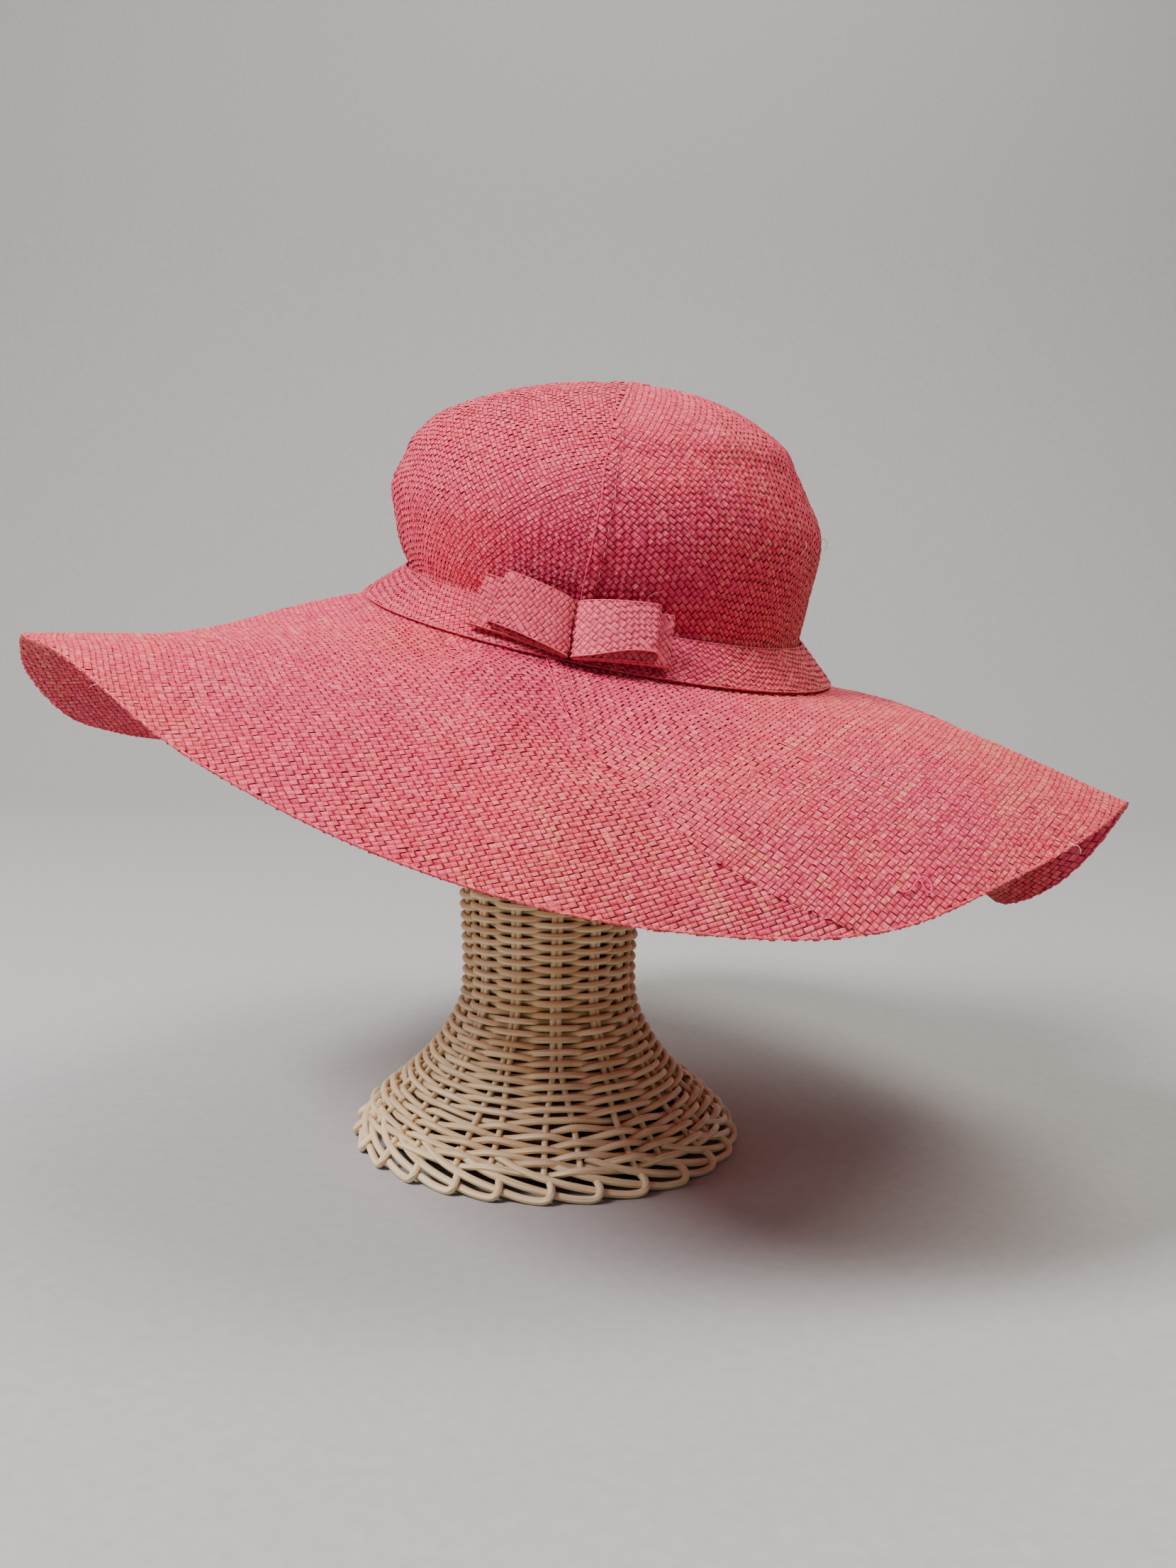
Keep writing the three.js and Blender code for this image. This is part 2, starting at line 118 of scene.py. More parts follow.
# The bow lies along a plane that leans back at the band: x runs along the band, y up the plane and height
# away from it. A loop is given by the two corners of its outer fold.
BOW = {"azimuth": 264.5, "slant_height": 10.6, "tilt": 66, "clearance": 4.75, "bend_diameter": 215,
       "layer": 2.3}
BOW_TIERS = {
    "bow_front": {"lift": 2.65, "top": (-1.8, 12.0), "bottom": (0.2, -9.8), "loops": (
        {"top": (-31.0, 19.6), "bottom": (-33.5, -2.2), "depth": 3.4, "swell": 1.2, "gape": 0.6},
        {"top": (29.3, 18.0), "bottom": (32.4, -3.4), "depth": 4.4, "swell": 1.6, "gape": 3.2},
    )},
    "bow_back": {"lift": 0.0, "top": (-1.8, 11.8), "bottom": (0.2, -9.6), "loops": (
        {"top": (-39.2, 18.4), "bottom": (-42.4, -1.9), "depth": 2.3, "swell": 0, "gape": 0.0},
        {"top": (34.7, 16.8), "bottom": (37.1, -3.1), "depth": 2.3, "swell": 0, "gape": 0.0},
    )},
}
LOOP_SHAPE = {"opening": 0.7, "roundness": 0.8, "pinch": 0.8, "pinch_width": 0.05}

# Outer radius of the stand at each height, round its own axis
BODY_SECTIONS = {
    "z": (7.9, 11.6, 15.9, 20.6, 25.1, 29.7, 34.4, 39.1, 43.7, 48.5, 55.0, 63.0, 75.0, 97.0, 122.0, 150.0),
    "radius": (83.4, 81.8, 77.6, 72.3, 66.9, 61.9, 57.4, 53.4, 50.0, 46.9, 43.2, 40.2, 39.0, 39.9, 41.5,
               45.0),
}
# Outer radius of the head form above it
HEAD_SECTIONS = {
    "z": (150.3, 166.0, 184.0, 206.0, 232.0, 261.5, 287.0, 306.0, 318.6, 325.0, 326.7),
    "radius": (45.2, 49.6, 53.8, 56.6, 57.6, 56.4, 51.2, 41.8, 29.2, 15.4, 0.0),
}
# Pairs of stakes run up the stand, and part into single stakes below the split.
PAIRS = 13
PAIR_AZIMUTH = 276.7
SPLIT_HEIGHT = 27.0
PAIR_SPREAD = {"above": 2.0, "below": 5.4}
STAKE_DEPTH = 3.9
BODY_TOP = 150.0
HEAD_FOOT = 150.3
ROD = 1.4
BORDER_ROD = 1.66
# How a stake's end runs in the border
BORDER = {
    "part": (0, 0.2, 0.4, 0.58, 0.7, 0.78, 0.84, 0.9, 0.95, 1.0),
    "turn": (0, 10.0, 20.5, 30.0, 36.8, 41.2, 43.7, 44.7, 44.5, 43.4),
    "radius": (74.0, 78.4, 80.9, 81.9, 83.0, 84.3, 84.9, 84.2, 81.2, 77.2),
    "z": (15.0, 10.8, 7.2, 4.0, 1.9, 1.5, 2.4, 5.0, 7.4, 8.6),
}

# How uneven a woven cloth is, and how flat and full its strands are
LOOK = {"spread": 0.26, "fill": (1.08, 0.98), "skip": 0.012, "flat": 0.32, "rough": 0.14, "wave": 0.9,
        "uneven": 0.25, "drift": 0.05}
SECOND_FAMILY = 5000  # added to the numbers of the strands that run across


def curve(table, column, at, period=0.0):
    """A smooth curve through a table's column, over its first column. A period closes it on itself."""
    x = np.array(next(iter(table.values())), float)
    y = np.array(table[column], float)
    at = np.asarray(at, float)
    if period:
        x = np.concatenate([x[-1:] - period, x, x[:2] + period])
        y = np.concatenate([y[-1:], y, y[:2]])
        at = at % period
    step = np.diff(x)
    chord = np.diff(y) / step
    slope = np.empty_like(y)
    slope[0] = chord[0]
    slope[-1] = chord[-1]
    slope[1:-1] = (chord[:-1] * step[1:] + chord[1:] * step[:-1]) / (step[1:] + step[:-1])
    i = np.clip(np.searchsorted(x, at, side="right") - 1, 0, len(x) - 2)
    t = (at - x[i]) / step[i]
    start = y[i] * (2 * t**3 - 3 * t**2 + 1) + slope[i] * step[i] * (t**3 - 2 * t**2 + t)
    end = y[i + 1] * (3 * t**2 - 2 * t**3) + slope[i + 1] * step[i] * (t**3 - t**2)
    return start + end


def bell(distance, spread):
    return np.exp(-((distance / spread) ** 2))


def turn_between(a, b):
    return (a - b + 180.0) % 360.0 - 180.0


def around(azimuth, radius, z):
    angle = np.radians(azimuth)
    return np.stack(np.broadcast_arrays(radius * np.cos(angle), radius * np.sin(angle), z), -1)


def unit(vectors):
    return vectors / np.maximum(np.linalg.norm(vectors, axis=-1, keepdims=True), 1e-9)


def dents(table, azimuth, reach):
    """The lift that a table of dents and bulges gives."""
    return sum(lift * bell(turn_between(azimuth, turn), spread) * bell(reach - middle, length)
               for turn, middle, lift, spread, length in table)


def seam_azimuth(seam, at):
    return np.interp(at, *seam.values())


def ease(share):
    """A share from 0 to 1 that starts and ends gently."""
    share = np.clip(share, 0, 1)
    return share**2 * (3 - 2 * share)


def run_length(points):
    """The length along a line up to each of its points."""
    return np.concatenate([[0], np.cumsum(np.linalg.norm(np.diff(points, axis=0), axis=1))])


def between(grid, row, next_row, column, s, t):
    """Values of a grid at shares s and t of the way to its next row and column."""
    return (grid[row, column] * (1 - s) * (1 - t) + grid[next_row, column] * s * (1 - t)
            + grid[row, column + 1] * (1 - s) * t + grid[next_row, column + 1] * s * t)


def hat_matrix():
    side = Matrix.Rotation(math.radians(HAT["side_tilt"]), 4, "Y")
    front = Matrix.Rotation(math.radians(HAT["front_tilt"]), 4, "X")
    place = Vector((HAT["x"] + STAND_AXIS[0], STAND_AXIS[1], HAT["z"]))
    return Matrix.Translation(place) @ side @ front


HAT_TO_FRAME = np.array(hat_matrix())


def in_frame(points):
    """Points of the hat's frame in the frame of the whole, in metres."""
    points = np.asarray(points, float)
    return (points @ HAT_TO_FRAME[:3, :3].T + HAT_TO_FRAME[:3, 3]) * MM


def on_stand(points):
    """Points measured from the stand's axis in the frame of the whole, in metres."""
    return (points + np.array([*STAND_AXIS, 0.0])) * MM


class Surface:
    """A smooth surface over a grid. Its rows turn with the azimuth and close, its columns follow reach."""

    def __init__(self, points, reaches):
        self.reaches = np.asarray(reaches, float)
        self.count = len(points)
        round_step = np.roll(points, -1, 0) - np.roll(points, 1, 0)
        out_step = np.gradient(points, axis=1)
        normals = unit(np.cross(out_step, round_step))
        weak = np.linalg.norm(round_step, axis=-1) < 1e-3
        normals[weak] = unit(np.cross(out_step, round_step)[:, 1 if weak[:, 0].any() else -2].mean(0))
        self.points = points - normals * STRAW / 2
        self.normals = normals

    def at(self, azimuth, reach):
        """Points and outward normals of the middle of the cloth."""
        row = (np.asarray(azimuth, float) % 360.0) * self.count / 360.0
        column = np.interp(reach, self.reaches, np.arange(len(self.reaches)))
        i = np.floor(row).astype(int)
        j = np.clip(np.floor(column).astype(int), 0, len(self.reaches) - 2)
        place = (i % self.count, (i + 1) % self.count, j, (row - i)[..., None], (column - j)[..., None])
        return between(self.points, *place), unit(between(self.normals, *place))


def brim_surface():
    rows, steps, extra = 240, 36, 3
    azimuth = np.arange(rows) * 360.0 / rows
    fold = {name: curve(BRIM_FOLDS, name, azimuth, 360.0) for name in ("slope", "bow", "sway", "width")}

    def slope_at(reach):
        offset = reach - 0.5
        return np.radians(fold["slope"] + fold["bow"] * offset + fold["sway"] * (6 * offset**2 - 0.5))

    radius = np.full(rows, BRIM_SHOW[0])
    z = np.full(rows, BRIM_SHOW[1])
    columns = [around(azimuth, np.full(rows, BRIM_START[0]), BRIM_START[1]), around(azimuth, radius, z)]
    reaches = [BRIM_REACH[0], 0.0]
    for k in range(1, steps + extra + 1):
        slope = slope_at((k - 0.5) / steps)
        radius = radius + np.cos(slope) * fold["width"] / steps
        z = z - np.sin(slope) * fold["width"] / steps
        reaches.append(k / steps)
        end = slope_at(k / steps)
        lift = dents(BRIM_DENTS, azimuth, k / steps)
        columns.append(around(azimuth, radius + np.sin(end) * lift, z + np.cos(end) * lift))
    return Surface(np.stack(columns, 1), reaches)


def crown_points(azimuth, along):
    def section(column, at):
        return curve(CROWN_SECTIONS, column, at)

    z = section("z", along)
    above, below = np.minimum(along + 0.004, 1), np.maximum(along - 0.004, 0)
    rise = section("z", above) - section("z", below)
    inwards = section("radius", below) - section("radius", above)
    size = np.hypot(rise, inwards)
    lift = dents(CROWN_DENTS, azimuth, along) * np.minimum(1, along / CROWN_DENT_START)
    point = around(azimuth, section("radius", along) + rise / size * lift, z + inwards / size * lift)
    tilt = np.radians(CROWN_LEAN["tilt"] * along)
    shift = CROWN_LEAN["shift"] * along + CROWN_LEAN["shift_back"] * along**2
    up = point[..., 2] - z
    return np.stack([
        shift + point[..., 0] * np.cos(tilt) + up * np.sin(tilt),
        point[..., 1],
        z - point[..., 0] * np.sin(tilt) + up * np.cos(tilt),
    ], -1)


def crown_surface():
    rows, columns = 180, 80
    azimuth = np.arange(rows) * 360.0 / rows
    along = np.linspace(1.0, 0.0, columns)
    points = crown_points(*np.meshgrid(azimuth, along, indexing="ij"))
    foot = around(azimuth, np.full(rows, CROWN_FOOT[0]), CROWN_FOOT[1])[:, None]
    return Surface(np.concatenate([points, foot], 1), np.concatenate([1 - along, [CROWN_REACH]]))


BRIM = brim_surface()
CROWN = crown_surface()


# Cloth woven from flat strands

def uneven_lines(low, high, pitch, spread, rng):
    """Edges of strands of uneven width from low to high."""
    count = int((high - low) / pitch) + 3
    widths = pitch * (1 + spread * rng.uniform(-1, 1, count))
    return low - pitch + np.concatenate([[0], np.cumsum(widths)])


def wavy(flat, size):
    """Moves places of a flat cloth a little, as its rows are never quite straight."""
    x, y = flat[..., 0], flat[..., 1]
    return flat + size * np.stack([
        np.sin(y / 9.0 + 0.7) * 0.35 + np.sin(y / 23.0 + x / 31.0) * 0.65,
        np.sin(x / 8.0 + 2.1) * 0.35 + np.sin(x / 21.0 - y / 35.0 + 1.3) * 0.65,
    ], -1)


def trim(flat, depth):
    """Moves the first place of each strand outside the cloth back to its edge. Gives places and two marks:
    inside the cloth, and moved."""
    inside = depth > 0
    moved = np.zeros_like(inside)
    for shift in (1, -1):
        near = np.roll(inside, shift, 1)
        near[:, 0 if shift == 1 else -1] = False
        fix = near & ~inside & ~moved
        neighbour, room = np.roll(flat, shift, 1), np.roll(depth, shift, 1)
        share = np.clip(room / np.maximum(room - depth, 1e-6), 0, 1)[..., None]
        flat = np.where(fix[..., None], neighbour + (flat - neighbour) * share, flat)
        moved |= fix
    return flat, inside, moved


def weave(lay, box, pitch, angle, seed, height, look=None):
    """Weaves a flat cloth with strands at an angle, and lays it on a surface. lay turns places of the flat
    cloth into points, normals and the distance inside the cloth's edge, all in millimetres. pitch and height
    are given for both families of strands: those that run up the turned cloth, and those that run across.
    The marks are the strand's number with the place across it, and the place along it."""
    rng = np.random.default_rng(seed)
    look = {**LOOK, **(look or {})}
    c, s = math.cos(math.radians(angle)), math.sin(math.radians(angle))
    turn = np.array([[c, -s], [s, c]])
    corners = np.array([(x, y) for x in (box[0][0], box[1][0]) for y in (box[0][1], box[1][1])]) @ turn
    edges = [uneven_lines(corners[:, k].min(), corners[:, k].max(), pitch[k], look["spread"], rng)
             for k in (0, 1)]
    over = np.add.outer(*(np.arange(len(edge) - 1) for edge in edges)) % 2 == 0
    over ^= rng.random(over.shape) < look["skip"]
    side = np.array([-1.0, 1.0])
    parts = []
    for family in (0, 1):
        own, other = edges[family], edges[1 - family]
        middle, width = ((own[1:] + own[:-1]) / 2)[:, None], np.diff(own)[:, None]
        crossing, reach = (other[1:] + other[:-1]) / 2, np.diff(other) * look["flat"]
        up = over if family == 0 else ~over.T
        rise = height[family]
        # At each crossing: the strand's height, half its width, how far it drifts and how it tilts
        by_crossing = [
            np.where(up, rise, -rise) + rise * look["uneven"] * rng.uniform(-1, 1, up.shape),
            width / 2 * look["fill"][family] * (1 - look["rough"] * rng.random(up.shape)),
            width * look["drift"] * rng.uniform(-1, 1, up.shape),
            rise * look["uneven"] * rng.uniform(-1, 1, up.shape),
        ]
        lift, half, drift, tilt = (np.repeat(value, 2, 1)[..., None] for value in by_crossing)
        across = middle[..., None] + drift + half * side
        ahead = np.stack([crossing - reach, crossing + reach], 1).reshape(1, -1, 1)
        ahead = np.broadcast_to(ahead, across.shape)
        flat = np.stack([across, ahead] if family == 0 else [ahead, across], -1)
        flat = wavy(flat @ turn.T, look["wave"])
        flat, inside, moved = trim(flat, lay(flat)[2])
        place, normal, depth = lay(flat)
        valid = (inside | moved) & (depth > -0.5)
        points = place + normal * (lift + tilt * side)[..., None]
        index = np.arange(valid.size).reshape(valid.shape)
        keep = valid[:, :-1].all(-1) & valid[:, 1:].all(-1) & (inside[:, :-1].any(-1) | inside[:, 1:].any(-1))
        quads = np.stack([index[:, :-1, 0], index[:, :-1, 1], index[:, 1:, 1], index[:, 1:, 0]], -1)[keep]
        strand = np.arange(len(up))[:, None, None] + 1 + family * SECOND_FAMILY + 0.02 + 0.96 * (side + 1) / 2
        steps = np.repeat(np.arange(up.shape[1]), 2) + np.tile([0.25, 0.75], up.shape[1])
        marks = np.stack(np.broadcast_arrays(strand, steps[None, :, None]), -1)
        used, faces = np.unique(quads, return_inverse=True)
        parts.append((points.reshape(-1, 3)[used], faces.reshape(quads.shape), marks.reshape(-1, 2)[used]))
    return parts


def make_piece(name, parts, materials, place=in_frame, inside=()):
    """One smooth-shaded object from parts, which are points, faces and marks. The marks become the Strand
    map. The parts inside are plain, and have the second material."""
    plain = [(points, faces, np.zeros((len(points), 2))) for points, faces in inside]
    points, faces, marks = zip(*parts, *plain)
    second = np.repeat(np.arange(len(faces)) >= len(parts), [len(part) for part in faces])
    starts = np.cumsum([0] + [len(part) for part in points])
    faces = np.concatenate([part + start for part, start in zip(faces, starts)]).astype(np.int32)
    points = place(np.concatenate(points))
    size = faces.shape[1]
    mesh = bpy.data.meshes.new(name)
    mesh.vertices.add(len(points))
    mesh.vertices.foreach_set("co", points.astype(np.float32).ravel())
    mesh.loops.add(faces.size)
    mesh.loops.foreach_set("vertex_index", faces.ravel())
    mesh.polygons.add(len(faces))
    mesh.polygons.foreach_set("loop_start", np.arange(0, faces.size, size, dtype=np.int32))
    mesh.polygons.foreach_set("use_smooth", np.ones(len(faces), bool))
    mesh.polygons.foreach_set("material_index", second.astype(np.int32))
    uv = mesh.uv_layers.new(name="Strand")
    uv.data.foreach_set("uv", np.concatenate(marks).astype(np.float32)[faces.ravel()].ravel())
    for material in materials:
        mesh.materials.append(material)
    mesh.update(calc_edges=True)
    mesh.validate()
    piece = bpy.data.objects.new(name, mesh)
    bpy.context.scene.collection.objects.link(piece)
    return piece


def add(name, slot, nodes, parts, *materials, **how):
    """A piece that shows in place of nodes of the solids."""
    piece = make_piece(name, parts, materials, **how)
    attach(piece, BODY)
    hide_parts(*nodes)


def grid_faces(rows, columns, closed):
    """Four-sided faces over a grid of points. A closed grid joins its last row to its first."""
    a, b = np.meshgrid(np.arange(rows if closed else rows - 1), np.arange(columns - 1), indexing="ij")
    here, after = a * columns + b, (a + 1) % rows * columns + b
    return np.stack([here, here + 1, after + 1, after], -1).reshape(-1, 4)


# The sheets of cloth that the hat is made of

def brim_lap_height(reach):
    return LAP["lift"] * np.clip((LAP["brim_end"] - reach) / 0.2, 0.3, 1)


def fold_over(surface, azimuth, reach, seam, arc, thick, back_room):
    """The cloth to the right of the front seam, which lies over the cloth to its left as a flat lap, and over
    the other cloth at the back. Gives points, normals and the room up to the seam."""
    gap = (azimuth - seam) * arc
    points, normals = surface.at(np.maximum(azimuth, seam), np.clip(reach, *BRIM_REACH))
    lift = thick * (1 - ease((gap - LAP["wide"] * 0.55) / (LAP["wide"] * 0.45)))
    lift = lift + LAP["back"] * np.clip(1 - back_room / LAP["back_wide"], 0, 1)
    return points + normals * lift[..., None], normals, gap + LAP["spare"]


def brim_sheet(left):
    """The flat cloth of the brim on one side, from the seam at the front to the middle of the back."""
    share, grain = BRIM_CUT["share"], BRIM_CUT["grain_azimuth"]
    inner = BRIM_SHOW[0] / share

    def lay(flat):
        distance = np.linalg.norm(flat, axis=-1)
        azimuth = grain + np.degrees(np.arctan2(flat[..., 0], flat[..., 1])) / share
        width = curve(BRIM_FOLDS, "width", azimuth, 360.0)
        reach = (distance - inner) / width
        seam = seam_azimuth(BRIM_SEAM, reach)
        arc = np.radians(1.0) * np.maximum(distance * share, 1.0)
        rim = np.minimum((1 - reach) * width, (reach + 0.12) * width)
        if left:
            points, normals = BRIM.at(azimuth, np.clip(reach, *BRIM_REACH))
            front, back = (seam - azimuth) * arc + LAP["under"], (azimuth - grain) * arc + LAP["under"]
        else:
            back = (grain - azimuth) * arc
            points, normals, front = fold_over(BRIM, azimuth, reach, seam - 360.0, arc,
                                               brim_lap_height(reach), back)
            back = back + LAP["spare"]
        return points, normals, np.minimum.reduce([rim, front, back])

    outer = inner + BRIM_CUT["widest"]
    return lay, ((0.0, -outer), (outer, outer)) if left else ((-outer, -outer), (0.0, outer))


def flatten(points, triangles, start, rounds):
    """Lays a curved sheet flat with as little stretch as possible, from a first guess."""
    turns = ((0, 1, 2), (1, 2, 0), (2, 0, 1))
    corners = points[triangles]
    first, second = corners[:, 1] - corners[:, 0], corners[:, 2] - corners[:, 0]
    length = np.linalg.norm(first, axis=1)
    along = first / length[:, None]
    local = np.zeros((len(triangles), 3, 2))
    local[:, 1, 0] = length
    local[:, 2, 0] = (second * along).sum(1)
    local[:, 2, 1] = np.linalg.norm(second - local[:, 2, :1] * along, axis=1)
    count = len(points)
    laplace = np.zeros((count, count))
    weights = []
    for a, b, opposite in turns:
        to_a, to_b = local[:, a] - local[:, opposite], local[:, b] - local[:, opposite]
        area = np.abs(to_a[:, 0] * to_b[:, 1] - to_a[:, 1] * to_b[:, 0])
        weight = np.clip((to_a * to_b).sum(1) / np.maximum(area, 1e-6), 0.02, 20)
        weights.append(weight[:, None])
        i, j = triangles[:, a], triangles[:, b]
        for row, column, sign in ((i, i, 1), (j, j, 1), (i, j, -1), (j, i, -1)):
            np.add.at(laplace, (row, column), sign * weight)
    laplace[0, 0] += 1.0
    inverse = np.linalg.inv(laplace)
    flat = start.copy()
    for _ in range(rounds):
        spread = np.zeros((len(triangles), 2, 2))
        for weight, (a, b, _) in zip(weights, turns):
            moved = flat[triangles[:, a]] - flat[triangles[:, b]]
            spread += weight[..., None] * moved[:, :, None] * (local[:, a] - local[:, b])[:, None, :]
        u, _, v = np.linalg.svd(spread)
        u[np.linalg.det(u @ v) < 0, :, 1] *= -1
        rotation = u @ v
        right = np.zeros((count, 2))
        for weight, (a, b, _) in zip(weights, turns):
            pull = weight * np.einsum("nij,nj->ni", rotation, local[:, a] - local[:, b])
            np.add.at(right, triangles[:, a], pull)
            np.add.at(right, triangles[:, b], -pull)
        right[0] += flat[0]
        flat = inverse @ right
    return flat


def chart(flat, triangles, values, step):
    """A regular table of values over a flat sheet, with a mark where the sheet is."""
    low = flat.min(0) - 2 * step
    size = np.ceil((flat.max(0) + 2 * step - low) / step).astype(int) + 1
    table = np.zeros((size[0], size[1], values.shape[1]))
    mark = np.zeros((size[0], size[1]), bool)
    for triangle in triangles:
        corner = (flat[triangle] - low) / step
        first = np.floor(corner.min(0)).astype(int)
        last = np.ceil(corner.max(0)).astype(int) + 1
        x, y = np.meshgrid(np.arange(first[0], last[0]), np.arange(first[1], last[1]), indexing="ij")
        edge1, edge2 = corner[1] - corner[0], corner[2] - corner[0]
        area = edge1[0] * edge2[1] - edge1[1] * edge2[0]
        if abs(area) < 1e-9:
            continue
        dx, dy = x - corner[0, 0], y - corner[0, 1]
        s = (dx * edge2[1] - dy * edge2[0]) / area
        t = (edge1[0] * dy - edge1[1] * dx) / area
        inside = (s >= -0.02) & (t >= -0.02) & (s + t <= 1.02)
        value = (values[triangle[0]] + s[..., None] * (values[triangle[1]] - values[triangle[0]])
                 + t[..., None] * (values[triangle[2]] - values[triangle[0]]))
        table[x[inside], y[inside]] = value[inside]
        mark[x[inside], y[inside]] = True
    return low, table, mark


def crown_sheet(left, grain):
    """One of the two flat cloths of the crown. grain is how much the strands rise to the right at the front.
    Its places are found from a table of the disc that the whole crown makes when it is seen from above."""
    rows, columns, step, top = (CROWN_FLAT[name] for name in ("rows", "columns", "step", "top"))
    along = np.concatenate([[-0.06], np.linspace(0.0, 1.0, columns)])
    share, along = np.meshgrid(np.linspace(0, 1, rows), along, indexing="ij")
    back_seam = CROWN_BACK_SEAM if left else CROWN_BACK_SEAM + 360.0
    ends = [seam_azimuth(CROWN_SEAM, along), back_seam]
    low, high = ends[::-1] if left else ends
    low, high = low - CROWN_FLAT["margin"], high + CROWN_FLAT["margin"]
    azimuth = low + (high - low) * share
    points = CROWN.at(azimuth, 1 - along)[0].reshape(-1, 3)
    disc = around(azimuth, top - along, 0.0)[..., :2]
    faces = grid_faces(rows, columns + 1, False)
    triangles = np.concatenate([faces[:, [0, 1, 2]], faces[:, [0, 2, 3]]])
    slant = np.radians((azimuth - (180.0 if left else 360.0)) * CROWN_GUESS["slant"])
    start = np.stack([np.sin(slant), -np.cos(slant)], -1)
    start = start * ((CROWN_GUESS["top"] - along) * CROWN_GUESS["size"])[..., None]
    flat = flatten(points, triangles, start.reshape(-1, 2), CROWN_FLAT["rounds"])
    low_corner, table, mark = chart(flat, triangles, disc.reshape(-1, 2), step)
    reference = int(rows * (0.75 if left else 0.2)) * (columns + 1) + 8
    ahead = flat[reference + columns + 1] - flat[reference]

    def lay(place):
        spot = (place - low_corner) / step
        i, j = (np.clip(np.floor(spot[..., k]).astype(int), 0, table.shape[k] - 2) for k in (0, 1))
        s, t = (np.clip(spot[..., k] - first, 0, 1)[..., None] for k, first in enumerate((i, j)))
        value = between(table, i, i + 1, j, s, t)
        known = mark[i, j] & mark[i + 1, j] & mark[i, j + 1] & mark[i + 1, j + 1]
        height = top - np.linalg.norm(value, axis=-1)
        azimuth = np.degrees(np.arctan2(value[..., 1], value[..., 0])) % 360.0
        radius = curve(CROWN_SECTIONS, "radius", np.clip(height, 0, 1))
        arc = np.radians(1.0) * np.maximum(radius, 3.0)
        seam = seam_azimuth(CROWN_SEAM, height)
        if left:
            points, normals = CROWN.at(azimuth, np.clip(1 - height, 0, CROWN_REACH))
            front, back = (seam - azimuth) * arc + LAP["under"], (azimuth - back_seam) * arc + LAP["under"]
        else:
            azimuth = np.where(azimuth < 180, azimuth + 360.0, azimuth)
            back = (back_seam - azimuth) * arc + LAP["spare"]
            points, normals, front = fold_over(CROWN, azimuth, 1 - height, seam, arc, LAP["lift"], back)
        depth = np.minimum.reduce([front, back, (height + 0.05) * 150.0])
        return points, normals, np.where(known, depth, -1.0)

    angle = math.degrees(math.atan2(ahead[1], ahead[0])) + grain
    return lay, (flat.min(0), flat.max(0)), angle


def crown_patch():
    """The lap of the crown's seam where it runs over the very top."""
    reach = np.linspace(0, 0.2, 60)
    profile_length = run_length(CROWN.at(np.full(60, 270.0), reach)[0])[-1] / reach[-1]
    size = np.array([CROWN_PATCH["reach"], CROWN_PATCH["half_width"]])

    def lay(flat):
        distance = np.linalg.norm(flat, axis=-1)
        azimuth = CROWN_SEAM["azimuth"][-1] + np.degrees(np.arctan2(flat[..., 1], flat[..., 0]))
        points, normals = CROWN.at(azimuth, distance / profile_length)
        room = size - np.abs(flat)
        lift = CROWN_PATCH["lift"] * np.clip(room[..., 0] / 4, 0.2, 1)
        return points + normals * lift[..., None], normals, room.min(-1)

    return lay, (-size, size)


def band_sheet():
    """The strip of the band, from its seam under the bow all the way round."""
    bottom, top = np.array(BAND["bottom"]), np.array(BAND["top"])
    slant = top - bottom
    width = math.hypot(*slant)
    normal = np.array([slant[1], -slant[0]]) / width
    middle = (bottom[0] + top[0]) / 2
    length = 2 * math.pi * middle

    def lay(flat):
        azimuth = BOW["azimuth"] + np.degrees(flat[..., 0] / middle)
        share = flat[..., 1] / width
        radius = bottom[0] + slant[0] * share - normal[0] * STRIP / 2
        z = bottom[1] + slant[1] * share - normal[1] * STRIP / 2
        points = around(azimuth, radius, z)
        normals = around(azimuth, np.full_like(azimuth, normal[0]), normal[1])
        x, y = flat[..., 0], flat[..., 1]
        return points, normals, np.minimum.reduce([x, length - x, y, width - y])

    return lay, ((0.0, 0.0), (length, width))


def bow_place(x, y, height):
    """Points of the hat's frame for places on the plane of the bow."""
    slant = np.array([BAND["bottom"][0] - BAND["top"][0], BAND["top"][1]])
    part = BOW["slant_height"] / np.hypot(*slant)
    origin = around(BOW["azimuth"], BAND["bottom"][0] - slant[0] * part, slant[1] * part)
    radial = around(BOW["azimuth"], 1.0, 0.0)
    tangent = around(BOW["azimuth"] + 90, 1.0, 0.0)
    lean, rise = math.cos(math.radians(BOW["tilt"])), math.sin(math.radians(BOW["tilt"]))
    up = radial * -lean + np.array([0, 0, rise])
    out = radial * rise + np.array([0, 0, lean])
    x, y, height = (np.asarray(value, float)[..., None] for value in (x, y, height))
    return origin + tangent * x + up * y + out * height


